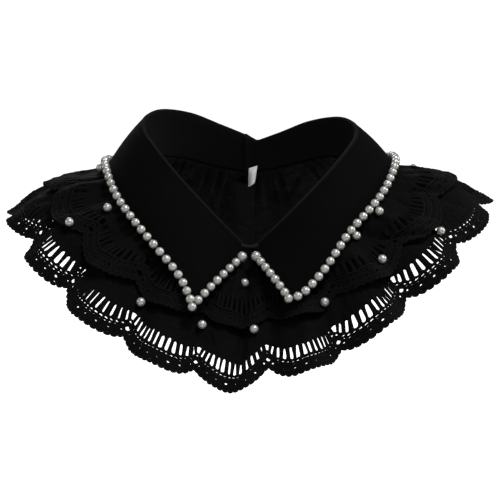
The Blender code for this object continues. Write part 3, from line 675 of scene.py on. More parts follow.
LOOKS = {
    # The collar's lighter colour paints a highlight on its roll and light on its shaded stand.
    "collar_cloth": cloth_look(
        "collar_sateen", (0.0010, 0.0010, 0.0011), (0.0024, 0.0024, 0.0026),
        2400.0, 0.3, 0.00006, 0.045, 0.012, painted_light_color=(0.0085, 0.0085, 0.009),
    ),
    "tier_cloth": cloth_look(
        "tier_cotton", (0.0016, 0.0016, 0.0018), (0.0044, 0.0044, 0.0048),
        1700.0, 0.6, 0.00012, 0.06, 0.006, rumple=0.005,
    ),
    "lace_thread": cloth_look(
        "lace_thread", (0.0010, 0.0010, 0.0010), (0.006, 0.006, 0.0062),
        1100.0, 0.9, 0.00025, 0.10, 0.008, 60.0,
    ),
    "tack_thread": cloth_look(
        "tack_thread", (0.012, 0.012, 0.012), (0.03, 0.03, 0.031),
        1500.0, 0.9, 0.0002, 0.2, 0.05, 60.0,
    ),
    "label_tape": cloth_look(
        "label_satin", (0.72, 0.72, 0.71), (0.86, 0.86, 0.85), 2600.0, 0.2, 0.00004, 0.3, 0.1
    ),
}
print("cloths:", ", ".join(LOOKS))

# %% [markdown]
# ## Pearls and button
# Imitation pearls are plastic beads with a lacquer of fish-scale or mica. The glow comes from
# a bright soft body under a clear coat, so a coat over a slightly metallic base reads better
# than plain gloss plastic. The rim of each bead is painted darker, a painted reflection of the
# black cloth around it, and a large noise keeps neighbouring beads from looking cloned.

# %% Pearl and button materials
PEARL_DARK, PEARL_LIGHT = (0.70, 0.69, 0.65, 1), (0.86, 0.85, 0.81, 1)
# Painted reflection: the rim of each bead is painted darker, for the black cloth it mirrors.
PEARL_RIM_PAINTED_REFLECTION = (0.26, 0.26, 0.25, 1)
PEARL_SHADER = {"Metallic": 0.4, "Coat Weight": 1.0, "Coat Roughness": 0.05}
BUTTON_COLOR = (0.008, 0.008, 0.009, 1)


def cloudy(scale, detail, smoothest, roughest):
    """Nodes and links of a noise that makes a polish a little uneven."""
    nodes = [
        ("where", "ShaderNodeTexCoord"),
        ("cloud", "ShaderNodeTexNoise", {}, {"Scale": scale, "Detail": detail}),
        ("rough", "ShaderNodeMapRange", {}, {"To Min": smoothest, "To Max": roughest}),
    ]
    links = [
        "where.Object > cloud.Vector", "cloud.Fac > rough.Value",
        "rough.Result > shader.Roughness",
    ]
    return nodes, links


def pearl_look():
    """Lacquered bead: creamy white, with a soft lustre under a clear coat."""
    nodes, links = cloudy(160.0, 2.0, 0.20, 0.30)
    nodes += [
        ("mix", "ShaderNodeMix", MIX_COLORS, {"A": PEARL_DARK, "B": PEARL_LIGHT}),
        # the darker rim is a painted reflection of the dark cloth around the bead
        ("facing", "ShaderNodeLayerWeight", {}, {"Blend": 0.45}),
        ("rim", "ShaderNodeMix", MIX_COLORS, {"B": PEARL_RIM_PAINTED_REFLECTION}),
    ]
    links += [
        "cloud.Fac > mix.Factor", "facing.Facing > rim.Factor", "mix.Result > rim.A",
        "rim.Result > shader.Base Color",
    ]
    return make_look("pearl_lacquer", nodes, links, PEARL_SHADER)


LOOKS["pearl"] = pearl_look()
LOOKS["button"] = make_look(
    "button_polyester", *cloudy(900.0, 2.0, 0.25, 0.4), {"Base Color": BUTTON_COLOR}
)
print("finishes:", len(LOOKS))
# %% [markdown]
# ## Helpers that turn points into finished meshes
# Every mesh goes through the same two doors. The first turns points in millimetres into an
# object at the origin. The second runs a Geometry Nodes tree or other modifiers on an object
# once and keeps the plain mesh, because a finished piece should not depend on live modifiers.

# %% Mesh helpers
def mesh_object(name, points, faces, look=None, edges=(), smooth=True):
    """A mesh object from points in millimetres, whose heights start at the front of the fold."""
    mesh = bpy.data.meshes.new(name)
    placed = [(p[0] * MM, p[1] * MM, (p[2] - ORIGIN_HEIGHT) * MM) for p in points]
    mesh.from_pydata(placed, edges, faces)
    if smooth and faces:
        mesh.shade_smooth()
    made = bpy.data.objects.new(name, mesh)
    if look:
        mesh.materials.append(LOOKS[look])
    bpy.context.scene.collection.objects.link(made)
    return made


def grid_faces(rows, columns):
    """Faces between points that were listed row by row."""
    corners = [row * columns + column for row in range(rows - 1) for column in range(columns - 1)]
    return [(a, a + columns, a + columns + 1, a + 1) for a in corners]


def bake(made):
    """Replace an object's mesh by what its modifiers make of it."""
    graph = bpy.context.evaluated_depsgraph_get()
    result = bpy.data.meshes.new_from_object(made.evaluated_get(graph), depsgraph=graph)
    made.modifiers.clear()
    made.data = result
    result.name = made.name
    return made


def thicken(made, thickness):
    """Give a sheet its wall, half of it to each side."""
    wall = made.modifiers.new("wall", "SOLIDIFY")
    wall.thickness = thickness * MM
    wall.offset = 0.0
    return bake(made)


def round_edges(made, width, segments, angle):
    """Round every edge that turns by more than an angle."""
    edge = made.modifiers.new("edge", "BEVEL")
    edge.width = width * MM
    edge.segments = segments
    edge.angle_limit = math.radians(angle)
    return bake(made)


def set_attribute(made, name, values):
    """A named number for each point of a mesh."""
    made.data.attributes.new(name, "FLOAT", "POINT").data.foreach_set("value", values)


def half_area(made):
    """Area of one side of a thin wall, in square metres."""
    return sum(face.area for face in made.data.polygons) / 2


def finish_piece(made, slot, *nodes):
    """A finished piece rides on the one body and stands for its nodes; its slot is not used."""
    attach(made, "root")
    if nodes:
        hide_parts(*nodes)
    made.data.calc_loop_triangles()
    print(f"{made.name}: {len(made.data.loop_triangles)} triangles")


print("the origin lies", ORIGIN_HEIGHT, "mm above the front of the fold")

# %% [markdown]
# ## Geometry Nodes: cords and beads
# Crochet is one thread worked into bars, chains and small knots, so the lace is drawn as lines
# on the pattern and given a round thread. A tree turns lines into cords whose thickness comes
# from an attribute, and a second tree puts a small solid on each point: pearls, picots and
# stitches. Both end in plain meshes.

# %% Geometry Nodes trees
def start_tree(name, inputs):
    """A Geometry Nodes tree that takes and gives a geometry, with further named inputs."""
    tree = bpy.data.node_groups.new(name, "GeometryNodeTree")
    tree.is_modifier = True
    for way in ("INPUT", "OUTPUT"):
        tree.interface.new_socket("Geometry", in_out=way, socket_type="NodeSocketGeometry")
    for socket, kind in inputs.items():
        tree.interface.new_socket(socket, in_out="INPUT", socket_type=f"NodeSocket{kind}")
    return tree


def make_cord_tree():
    """Lines become cords: radius times the line's own thickness attribute."""
    tree = start_tree("cords", {"Radius": "Float", "Sides": "Int", "Material": "Material"})
    nodes = [
        ("in", "NodeGroupInput"),
        ("curve", "GeometryNodeMeshToCurve"),
        ("thick", "GeometryNodeInputNamedAttribute", {}, {"Name": "thickness"}),
        ("profile", "GeometryNodeCurvePrimitiveCircle"),
        ("skin", "GeometryNodeCurveToMesh", {}, {"Fill Caps": True}),
        ("smooth", "GeometryNodeSetShadeSmooth"),
        ("real", "GeometryNodeRealizeInstances"),
        ("paint", "GeometryNodeSetMaterial"),
        ("out", "NodeGroupOutput"),
    ]
    wire(tree, nodes, [
        "in.Geometry > curve.Mesh", "in.Sides > profile.Resolution",
        "in.Radius > profile.Radius", "curve.Curve > skin.Curve",
        "profile.Curve > skin.Profile Curve", "thick.Attribute > skin.Scale",
        "skin.Mesh > smooth.Geometry", "smooth.Geometry > real.Geometry",
        "real.Geometry > paint.Geometry", "in.Material > paint.Material",
        "paint.Geometry > out.Geometry",
    ])
    return tree


def make_bead_tree():
    """Each point gets one bead, turned along its own axis and sized by its own attribute."""
    tree = start_tree("beads", {
        "Radius": "Float", "Segments": "Int", "Rings": "Int", "Length": "Float",
        "Unevenness": "Float", "Material": "Material",
    })
    nodes = [
        ("in", "NodeGroupInput"),
        ("points", "GeometryNodeMeshToPoints"),
        ("bead", "GeometryNodeMeshUVSphere"),
        ("stretch", "ShaderNodeCombineXYZ", {}, {"X": 1.0, "Y": 1.0}),
        ("shaped", "GeometryNodeTransform"),
        (
            "axis", "GeometryNodeInputNamedAttribute",
            {"data_type": "FLOAT_VECTOR"}, {"Name": "axis"},
        ),
        ("turn", "FunctionNodeAlignRotationToVector", {"axis": "Z"}),
        ("size", "GeometryNodeInputNamedAttribute", {}, {"Name": "thickness"}),
        ("low", "ShaderNodeMath", {"operation": "SUBTRACT"}, {"0": 1.0}),
        ("high", "ShaderNodeMath", ADD, {"0": 1.0}),
        ("chance", "FunctionNodeRandomValue", {}, {"Seed": 7}),
        ("sized", "ShaderNodeMath", MULTIPLY),
        ("place", "GeometryNodeInstanceOnPoints"),
        ("real", "GeometryNodeRealizeInstances"),
        ("smooth", "GeometryNodeSetShadeSmooth"),
        ("paint", "GeometryNodeSetMaterial"),
        ("out", "NodeGroupOutput"),
    ]
    wire(tree, nodes, [
        "in.Geometry > points.Mesh", "in.Segments > bead.Segments", "in.Rings > bead.Rings",
        "in.Radius > bead.Radius", "in.Length > stretch.Z", "bead.Mesh > shaped.Geometry",
        "stretch.Vector > shaped.Scale", "axis.Attribute > turn.Vector",
        "in.Unevenness > low.1", "in.Unevenness > high.1", "low.0 > chance.Min",
        "high.0 > chance.Max", "chance.Value > sized.0", "size.Attribute > sized.1",
        "points.Points > place.Points", "shaped.Geometry > place.Instance",
        "turn.Rotation > place.Rotation", "sized.0 > place.Scale",
        "place.Instances > real.Geometry", "real.Geometry > smooth.Geometry",
        "smooth.Geometry > paint.Geometry", "in.Material > paint.Material",
        "paint.Geometry > out.Geometry",
    ])
    return tree


CORDS = make_cord_tree()
BEADS = make_bead_tree()
print("trees:", CORDS.name, BEADS.name)

# %% [markdown]
# ## Cords and beads on request
# With the trees in place, a cord is one call with its lines, and a row of beads one call with
# its spots. What differs from point to point goes in as an attribute of the mesh.

# %% Run the trees
def run_tree(made, tree, look, **values):
    """Run a tree on an object with its inputs set by identifier, and keep the plain mesh."""
    step = made.modifiers.new(tree.name, "NODES")
    step.node_group = tree
    for socket in tree.interface.items_tree:
        if socket.in_out == "INPUT" and socket.name != "Geometry":
            value = LOOKS[look] if socket.name == "Material" else values[socket.name]
            step[socket.identifier] = value
    return bake(made)


def cords(name, lines, look, radius, sides=6):
    """Cords along lines of (point, thickness) pairs."""
    points, edges, thickness = [], [], []
    for line in lines:
        first = len(points)
        points += [point for point, _ in line]
        thickness += [value for _, value in line]
        edges += [(first + i, first + i + 1) for i in range(len(line) - 1)]
    made = mesh_object(name, points, [], edges=edges)
    set_attribute(made, "thickness", thickness)
    return run_tree(made, CORDS, look, Radius=radius * MM, Sides=sides)


def beads(name, spots, look, radius, segments=20, rings=12, length=1.0, uneven=0.02):
    """Beads at spots of (point, axis, size)."""
    made = mesh_object(name, [spot[0] for spot in spots], [])
    axes = [value for spot in spots for value in spot[1]]
    made.data.attributes.new("axis", "FLOAT_VECTOR", "POINT").data.foreach_set("vector", axes)
    set_attribute(made, "thickness", [spot[2] for spot in spots])
    shape = {"Segments": segments, "Rings": rings, "Length": length, "Unevenness": uneven}
    return run_tree(made, BEADS, look, Radius=radius * MM, **shape)


print("cords and beads in", len(LOOKS), "finishes")

# %% [markdown]
# ## The lace pattern
# One scallop of the hem is drawn flat, as a maker charts it. From the cloth outwards come a fan
# of long slits between worked bars, two ladders of small holes, a row of round eyelets, and a
# picot edge with a pinhole in each picot. A larger eyelet sits where two scallops meet. The
# chart is in reach and place, so it drapes by itself when it is repeated round the hem. No two
# holes are quite alike, because a maker's tension changes from stitch to stitch.

# %% Hem and holes of one scallop
SCALLOP_WIDTH = 50.0
SCALLOP_RISE = 12.0
SCALLOP_ROUNDNESS = 2.3
SLITS_IN_FAN = 12
FAN_BORDER = 14.0
SLIT_STEP_TOP = 3.75
SLIT_STEP_BOTTOM = 3.98
SLIT_TOP = 25.0
SLIT_WIDTH_TOP = 1.25
SLIT_WIDTH_BOTTOM = 2.05
SLIT_ARCH = 0.16
SLIT_TOP_TIP, SLIT_LOW_TIP = 0.45, 0.55
SLIT_TOP_ROUNDING, SLIT_LOW_ROUNDING = 1.4, 1.5
SLIT_TOP_SPREAD, SLIT_LOW_SPREAD = (-0.5, 0.9), (-0.6, 0.4)
UPPER_SLIT_SHARE = 0.72
JOIN_SLIT_WIDTH = 5.0
JOIN_SLIT_LENGTH = 9.0
JOIN_TIP_ROUNDING, JOIN_FOOT = 0.8, 0.5
LADDER_HOLES = 18
LADDER_DEPTH = 12.0
LADDER_SIZE = (0.72, 0.5)
LADDER_SPREAD = (0.7, 1.15)
LADDER_MARGIN = 1.0
SECOND_LADDER_DEPTH = 9.9
SECOND_LADDER_SIZE = (0.5, 0.32)
SECOND_LADDER_SPREAD = (0.6, 1.2)
PICOT_HOLE_DEPTH = 2.6
PICOT_HOLE_RADIUS = 0.34
PICOT_HOLE_SPREAD = (0.5, 1.2)
PICOT_HOLE_CORNERS = 5
EYELETS = 8
EYELET_DEPTH = 6.4
EYELET_RADIUS = 0.8
EYELET_SPREAD = (0.45, 1.1)
EYELET_CORNERS = 6
JOIN_EYELET_DEPTH = 9.3
JOIN_EYELET_RADIUS = 1.6
JOIN_EYELET_SHARE = 0.25
PICOTS = 15
PICOT_DEPTH = 1.3
POINTS_IN_PICOT = 4
SLIT_WIDTH_SPREAD = 0.4
SLIT_PLACE_SPREAD = 0.3


def hem_reach(full_reach, place):
    """Reach of the scalloped hem at a place from -0.5 to 0.5 across its scallop."""
    return full_reach - SCALLOP_RISE * abs(2 * place) ** SCALLOP_ROUNDNESS


def picot_edge(full_reach, place):
    """Hem with its row of small rounded bumps."""
    bump = abs(math.sin(math.pi * PICOTS * (place + 0.5)))
    return hem_reach(full_reach, place) - PICOT_DEPTH * (1 - bump)


def slit_outline(full_reach, offset, chance, open_share):
    """Outline of one slit of the fan: a long drop, wider below, with rounded ends.

    chance is the random generator that makes each slit a little different, and open_share the
    share of its full width that it hangs open.
    """
    spread, wider = SLIT_PLACE_SPREAD, SLIT_WIDTH_SPREAD
    top = full_reach - SLIT_TOP - SLIT_ARCH * offset ** 2 + chance.uniform(*SLIT_TOP_SPREAD)
    low_x = offset * SLIT_STEP_BOTTOM + chance.uniform(-spread, spread)
    low = hem_reach(full_reach, low_x / SCALLOP_WIDTH) - FAN_BORDER
    low += chance.uniform(*SLIT_LOW_SPREAD)
    top_x = offset * SLIT_STEP_TOP + chance.uniform(-spread, spread)
    half_top = SLIT_WIDTH_TOP / 2 * open_share * (1 + chance.uniform(-wider, wider))
    half_low = SLIT_WIDTH_BOTTOM / 2 * open_share * (1 + chance.uniform(-wider, wider / 2))
    return [
        (top_x - half_top * SLIT_TOP_TIP, top),
        (top_x + half_top * SLIT_TOP_TIP, top),
        (top_x + half_top, top + SLIT_TOP_ROUNDING),
        (low_x + half_low, low - SLIT_LOW_ROUNDING),
        (low_x + half_low * SLIT_LOW_TIP, low),
        (low_x - half_low * SLIT_LOW_TIP, low),
        (low_x - half_low, low - SLIT_LOW_ROUNDING),
        (top_x - half_top, top + SLIT_TOP_ROUNDING),
    ]


def join_slit(full_reach, side, open_share):
    """Wide wedge between two fans, which points at the eyelet where their scallops meet."""
    x = side * SCALLOP_WIDTH
    top = full_reach - SLIT_TOP - SLIT_ARCH * (SLITS_IN_FAN / 2) ** 2
    half = JOIN_SLIT_WIDTH / 2 * open_share
    return [
        (x - half, top + JOIN_TIP_ROUNDING),
        (x, top),
        (x + half, top + JOIN_TIP_ROUNDING),
        (x + JOIN_FOOT, top + JOIN_SLIT_LENGTH),
        (x - JOIN_FOOT, top + JOIN_SLIT_LENGTH),
    ]


def box_outline(x, y, size, chance, spread):
    """Outline of a small square hole of the ladder."""
    wide, high = (value * chance.uniform(*spread) for value in size)
    return [(x - wide, y - high), (x + wide, y - high), (x + wide, y + high), (x - wide, y + high)]


def round_outline(x, y, radius, corners=8):
    """Outline of a round eyelet."""
    turns = [2 * math.pi * (i + 0.5) / corners for i in range(corners)]
    return [(x + radius * math.cos(t), y + radius * math.sin(t)) for t in turns]


def lace_holes(full_reach, chance, open_share):
    """Outlines of every hole in one scallop, as (x, reach); a share of 0 keeps its slits shut."""
    holes = []
    for slit in range(SLITS_IN_FAN):
        outline = slit_outline(full_reach, slit - (SLITS_IN_FAN - 1) / 2, chance, open_share)
        if open_share > 0:
            holes.append(outline)
    for hole in range(LADDER_HOLES):
        x = SCALLOP_WIDTH * ((hole + 0.5) / LADDER_HOLES - 0.5)
        y = hem_reach(full_reach, x / SCALLOP_WIDTH) - LADDER_DEPTH
        outline = box_outline(x, y, LADDER_SIZE, chance, LADDER_SPREAD)
        if abs(x) < SCALLOP_WIDTH / 2 - JOIN_EYELET_RADIUS - LADDER_MARGIN:
            y += LADDER_DEPTH - SECOND_LADDER_DEPTH
            holes.append(outline)
            holes.append(box_outline(x, y, SECOND_LADDER_SIZE, chance, SECOND_LADDER_SPREAD))
    for x, y in eyelet_spots(full_reach):
        radius = EYELET_RADIUS * chance.uniform(*EYELET_SPREAD)
        holes.append(round_outline(x, y, radius, EYELET_CORNERS))
    for hole in range(PICOTS):
        place = (hole + 0.5) / PICOTS - 0.5
        x, y = place * SCALLOP_WIDTH, hem_reach(full_reach, place) - PICOT_HOLE_DEPTH
        radius = PICOT_HOLE_RADIUS * chance.uniform(*PICOT_HOLE_SPREAD)
        holes.append(round_outline(x, y, radius, PICOT_HOLE_CORNERS))
    join_share = UPPER_SLIT_SHARE if full_reach == UPPER_REACH else 1.0
    for side in (-0.5, 0.5):
        x = side * SCALLOP_WIDTH
        holes.append(join_slit(full_reach, side, join_share))
        holes.append(round_outline(x, join_depth(full_reach), JOIN_EYELET_RADIUS))
    return holes


def eyelet_spots(full_reach):
    """Middles of the round eyelets of one scallop."""
    places = [(hole + 0.5) / EYELETS - 0.5 for hole in range(EYELETS)]
    return [(SCALLOP_WIDTH * p, hem_reach(full_reach, p) - EYELET_DEPTH) for p in places]


def join_depth(full_reach):
    """Reach of the middle of the larger eyelet between two scallops."""
    return hem_reach(full_reach, 0.5) - JOIN_EYELET_DEPTH + SCALLOP_RISE * JOIN_EYELET_SHARE


print("holes in a scallop:", len(lace_holes(LOWER_REACH, random.Random(0), 1.0)))

# %% [markdown]
# ## From the chart to a mesh
# The chart becomes triangles by a constrained Delaunay fill: the outline and every hole are
# edges that it has to keep, and a grid of loose points lets the cloth bend between them. Faces
# that fall in a hole are left out. A few variants are drawn and mixed round the hem, and two
# more hang partly or wholly shut, as folded lace does.

# %% Fill the chart with triangles
COLUMNS_IN_SCALLOP = 30
ROW_STEP = 3.0
LACE_ROW_STEP = 2.4
LACE_MARGIN = 6.0
SPARE = 0.45
HEM_SPARE, HEM_TOLERANCE = 1.0, 0.02
WELD_DISTANCE = 1e-5
VARIANTS = 4
CLOSED_SEED = 9
NARROW_SEED = 10
NARROW_SHARE = 0.6
CLOSED_SCALLOP = 13
NARROW_SCALLOP = 7


def inside(outline, x, y):
    """True where a point lies inside a convex outline."""
    signs = [
        (bx - ax) * (y - ay) - (by - ay) * (x - ax)
        for (ax, ay), (bx, by) in zip(outline, outline[1:] + outline[:1])
    ]
    return min(signs) > 0 or max(signs) < 0


def near(outline, x, y):
    """True where a point lies in an outline or just beside it."""
    if inside(outline, x, y):
        return True
    for (ax, ay), (bx, by) in zip(outline, outline[1:] + outline[:1]):
        dx, dy = bx - ax, by - ay
        t = ((x - ax) * dx + (y - ay) * dy) / (dx * dx + dy * dy)
        t = min(max(t, 0.0), 1.0)
        if math.hypot(ax + dx * t - x, ay + dy * t - y) < SPARE:
            return True
    return False


def flat_mesh(rings, loose, keep):
    """Triangles between closed outlines and loose points, where their middles pass a test."""
    points, edges = [], []
    for ring in rings:
        first = len(points)
        points += ring
        edges += [(first + i, first + (i + 1) % len(ring)) for i in range(len(ring))]
    corners = [Vector(point) for point in points + loose]
    found, _, faces, _, _, _ = delaunay_2d_cdt(corners, edges, [], 0, WELD_DISTANCE)
    kept = []
    for face in faces:
        x, y = (sum(found[i][axis] for i in face) / 3 for axis in (0, 1))
        if keep(x, y):
            kept.append(tuple(face))
    return found, kept


def scallop_pattern(full_reach, seed, open_share=1.0):
    """One scallop from seam to hem as points (place, reach) and triangles, holes left out."""
    holes = lace_holes(full_reach, random.Random(seed), open_share)
    half = SCALLOP_WIDTH / 2
    columns = [part - 0.5 for part in even_parts(COLUMNS_IN_SCALLOP)]
    lace_start = full_reach - FAN_TOP - LACE_MARGIN
    rows = []
    reach = 0.0
    while reach < full_reach:
        rows.append(reach)
        reach += ROW_STEP if reach < lace_start else LACE_ROW_STEP
    places = [part - 0.5 for part in even_parts(PICOTS * POINTS_IN_PICOT)]
    hem = [(place * SCALLOP_WIDTH, picot_edge(full_reach, place)) for place in places]
    side_rows = [y for y in rows if y < hem[0][1] - HEM_SPARE]
    outline = [(-half, y) for y in side_rows] + hem + [(half, y) for y in reversed(side_rows)]
    outline += [(place * SCALLOP_WIDTH, 0.0) for place in reversed(columns[1:-1])]
    loose = [
        (place * SCALLOP_WIDTH, y)
        for y in rows[1:]
        for place in columns[1:-1]
        if y < picot_edge(full_reach, place) - SPARE * 2
        and (y < lace_start or not any(near(hole, place * SCALLOP_WIDTH, y) for hole in holes))
    ]

    def is_cloth(x, y):
        """True inside the hem and outside every hole."""
        edge = picot_edge(full_reach, x / SCALLOP_WIDTH) - HEM_TOLERANCE
        within = abs(x) < half and y < edge
        return within and (y < lace_start or not any(inside(hole, x, y) for hole in holes))

    found, kept = flat_mesh([outline, *holes], loose, is_cloth)
    used = sorted({i for face in kept for i in face})
    renumber = {old: new for new, old in enumerate(used)}
    flat = [(found[i].x / SCALLOP_WIDTH, found[i].y) for i in used]
    return flat, [tuple(renumber[i] for i in face) for face in kept]


PATTERNS = {
    "lower": [
        *(scallop_pattern(LOWER_REACH, seed) for seed in range(VARIANTS)),
        scallop_pattern(LOWER_REACH, CLOSED_SEED, 0.0),
        scallop_pattern(LOWER_REACH, NARROW_SEED, NARROW_SHARE),
    ],
    "upper": [
        scallop_pattern(UPPER_REACH, seed, UPPER_SLIT_SHARE)
        for seed in range(VARIANTS, 2 * VARIANTS)
    ],
}
for tier, variants in PATTERNS.items():
    print(tier, "pattern:", [len(faces) for _, faces in variants], "triangles")

# %% [markdown]
# ## The two tiers
# Each tier is one strip of cotton, gathered into the neck seam and open at the back. The chart
# is laid side by side for every scallop, points on a shared line are used once, and Solidify
# gives the thin sheet its wall. Real cloth this light is about half a millimetre thick; it is
# drawn a little thicker, so that the wall keeps a readable edge.

# %% Build the tiers
END_TRIM = 0.008
CLOTH_THICKNESS = 0.8
SCALLOPS = {"lower": LOWER_SCALLOPS, "upper": UPPER_SCALLOPS}
PLACES_IN_SCALLOP = 100000
PLACES_IN_MM = 1000
VARIANT_ORDER = (0, 2, 1, 3, 0, 1, 3, 2, 1, 0, 3)
FOLDED_VARIANTS = {CLOSED_SCALLOP: VARIANTS, NARROW_SCALLOP: VARIANTS + 1}


def pattern_point(tier, turn, reach):
    """Point of a tier for a place counted in scallops and a reach on the pattern."""
    edge = SCALLOPS[tier] / 2 - END_TRIM
    angle = scallop_angle(min(max(turn, -edge), edge), SCALLOPS[tier])
    return tier_point(tier, angle, fitted_reach(tier, angle, reach))


def scallop_middles(tier):
    """Middle of every scallop, counted in scallops from the front one."""
    return [scallop - (SCALLOPS[tier] - 1) / 2 for scallop in range(SCALLOPS[tier])]


def build_tier(name, tier):
    """One whole tier as a thin wall."""
    points, faces, known = [], [], {}
    for scallop, middle in enumerate(scallop_middles(tier)):
        variant = VARIANT_ORDER[scallop % len(VARIANT_ORDER)]
        if tier == "lower":
            variant = FOLDED_VARIANTS.get(scallop, variant)
        flat, triangles_flat = PATTERNS[tier][variant]
        numbers = []
        for place, reach in flat:
            key = (round((scallop + place) * PLACES_IN_SCALLOP), round(reach * PLACES_IN_MM))
            if key not in known:
                known[key] = len(points)
                points.append(pattern_point(tier, middle + place, reach))
            numbers.append(known[key])
        faces += [tuple(numbers[i] for i in reversed(face)) for face in triangles_flat]
    return thicken(mesh_object(name, points, faces, "tier_cloth"), CLOTH_THICKNESS)


lower_tier = build_tier("lower_tier_cloth", "lower")
upper_tier = build_tier("upper_tier_cloth", "upper")
finish_piece(lower_tier, "tier_cloth", "lower_tier_left", "lower_tier_right")
finish_piece(upper_tier, "tier_cloth", "upper_tier_left", "upper_tier_right")

# %% [markdown]
# ## The worked thread of the lace
# The bars of the fan, the rows above and below the ladder and the picot edge are thread, and
# thread is round. Cords laid along the flat chart give the bars their body, and their
# thickness swells and narrows as stitches do. Small knots sit in each picot.

# %% Lay the lace cords
CORD_RADIUS = 0.85
RING_CORD = 0.95
RING_RADIUS = 1.75
CORD_SIDES = 5
ROW_CORDS = ((13.4, 1.1), (10.8, 0.9), (8.9, 1.0), (3.9, 0.95))  # depth and thickness
ROW_SWELL = 0.28
ZIGZAG_POINTS = 36
ZIGZAG_DEPTHS = (1.7, 3.4)
ZIGZAG_CORD = 0.8
BAR_CORD = 0.95
BAR_SWELL = 0.12
BAR_OVERRUN = 0.8
PICOT_CORD = 1.05
PICOT_SWELL = 0.1
PICOT_CORD_INSET = 0.35
PICOT_KNOT = 1.05
KNOT_INSET = 0.42
KNOT_SHAPE = {"segments": 6, "rings": 4, "length": 0.8, "uneven": 0.25}
RING_POINTS = 8
BAR_POINTS = 9
ROW_POINTS = 45


def swell(index, depth):
    """Thickness that alternates from point to point, as worked stitches do."""
    return 1.0 + depth * (1 if index % 2 else -1)


def hem_line(full_reach, steps, depths, thickness, depth_of_swell, edge=hem_reach):
    """Cord along the hem of one scallop, as ((place, reach), thickness)."""
    line = []
    for step, part in enumerate(even_parts(steps)):
        reach = edge(full_reach, part - 0.5) - depths[step % len(depths)]
        line.append(((part - 0.5, reach), thickness * swell(step, depth_of_swell)))
    return line


def lace_lines(full_reach):
    """Cords of one scallop: bars of the fan, rows, zigzag, rings of the eyelets and the hem."""
    lines = []
    for bar in range(SLITS_IN_FAN + 1):
        offset = bar - SLITS_IN_FAN / 2
        top = full_reach - SLIT_TOP - SLIT_ARCH * offset ** 2 - BAR_OVERRUN
        low_x = offset * SLIT_STEP_BOTTOM
        low = hem_reach(full_reach, low_x / SCALLOP_WIDTH) - FAN_BORDER + BAR_OVERRUN
        line = []
        for step, part in enumerate(even_parts(BAR_POINTS - 1)):
            x = offset * SLIT_STEP_TOP * (1 - part) + low_x * part
            spot = (x / SCALLOP_WIDTH, top + (low - top) * part)
            line.append((spot, BAR_CORD * swell(step, BAR_SWELL)))
        lines.append(line)
    for depth, thickness in ROW_CORDS:
        lines.append(hem_line(full_reach, ROW_POINTS, (depth,), thickness, ROW_SWELL))
    lines.append(hem_line(full_reach, ZIGZAG_POINTS, ZIGZAG_DEPTHS, ZIGZAG_CORD, 0.0))
    turns = [2 * math.pi * part for part in even_parts(RING_POINTS)]
    for x, y in eyelet_spots(full_reach):
        ring = [(x + RING_RADIUS * math.cos(t), y + RING_RADIUS * math.sin(t)) for t in turns]
        lines.append([((a / SCALLOP_WIDTH, b), RING_CORD) for a, b in ring])
    steps = PICOTS * POINTS_IN_PICOT
    inset = (PICOT_CORD_INSET,)
    lines.append(hem_line(full_reach, steps, inset, PICOT_CORD, PICOT_SWELL, picot_edge))
    return lines


def lay_lace(name, tier, full_reach):
    """Cords of a whole tier."""
    chart = lace_lines(full_reach)
    lines = [
        [(pattern_point(tier, middle + x, y), thickness) for (x, y), thickness in line]
        for middle in scallop_middles(tier)
        for line in chart
    ]
    return cords(name, lines, "lace_thread", CORD_RADIUS, CORD_SIDES)


def lay_knots(name, tier, full_reach):
    """Small knots at the tips of the picots of a whole tier."""
    spots = []
    for middle in scallop_middles(tier):
        for picot in range(PICOTS):
            place = (picot + 0.5) / PICOTS - 0.5
            reach = hem_reach(full_reach, place) - KNOT_INSET
            spots.append((pattern_point(tier, middle + place, reach), Vector((0, 0, 1)), 1.0))
    return beads(name, spots, "lace_thread", PICOT_KNOT, **KNOT_SHAPE)


lower_lace = lay_lace("lower_lace_thread", "lower", LOWER_REACH)
upper_lace = lay_lace("upper_lace_thread", "upper", UPPER_REACH)
lower_knots = lay_knots("lower_picot_knots", "lower", LOWER_REACH)
upper_knots = lay_knots("upper_picot_knots", "upper", UPPER_REACH)
for made in (lower_lace, upper_lace, lower_knots, upper_knots):
    finish_piece(made, "tier_cloth")

# %% [markdown]
# ## The collar
# The collar is one folded piece for each half: a stand that rises from the neck seam, a soft
# roll at the fold, and a fall that ends in a point. It is drawn as a row of sections, from
# the centre front round to the back, and skinned. The roll is an arc of several small steps,
# because its even curve is what the eye reads as good tailoring.

# %% Sections of the collar
COLLAR_THICKNESS = 1.6
FOLD_RADIUS = 1.3
FOLD_DEPTH = 1.04
FALL_BULGE = 3.0
BULGE_TILT = 60.0
STAND_LIFT = 2.3
FOOT_DROP = 1.3
RIGHT_BLUNT = 7.0
BLUNT_ANGLE = 4.5
WING_COLUMNS = ("angle", "edge_angle", "edge_reach", "lift")
BACK_WING_ROWS = (
    (100, 98, 29, 8),
    (120, 119, 31, 8),
    (140, 140, 33, 8.5),
    (160, 160, 35, 8.5),
    (180, 180, 35, 8.5),
)
LEFT_WING_ROWS = (
    (0, 16.8, 71, 10.5),
    (20, 24, 52, 9),
    (40, 37, 41, 8.5),
    (60, 54, 33.5, 8),
    (80, 75, 29, 8),
    *BACK_WING_ROWS,
)
RIGHT_WING_ROWS = (
    (0, 11.8, 68, 12.5),
    (20, 24, 53, 10.5),
    (40, 38, 37.5, 8.5),
    (60, 56, 32.5, 8),
    (80, 76, 30, 8),
    *BACK_WING_ROWS,
)
WING_STEP = 2.0
LAP_WIDTH = 4.0
LAP_PARTS = (0.35, 0.7, 1.0)
LAP_GROWTH = 1.5
STAND_PARTS = 7
FOLD_PARTS = 5
FALL_PARTS = 18
EDGE_ROUNDING, EDGE_SEGMENTS, EDGE_ANGLE = 0.56, 2, 60.0
# Painted light on the collar: a little on the shaded inner stand, and a paler outer edge.
NECK_PAINTED_LIGHT, EDGE_LIGHTENING = 0.24, 0.4


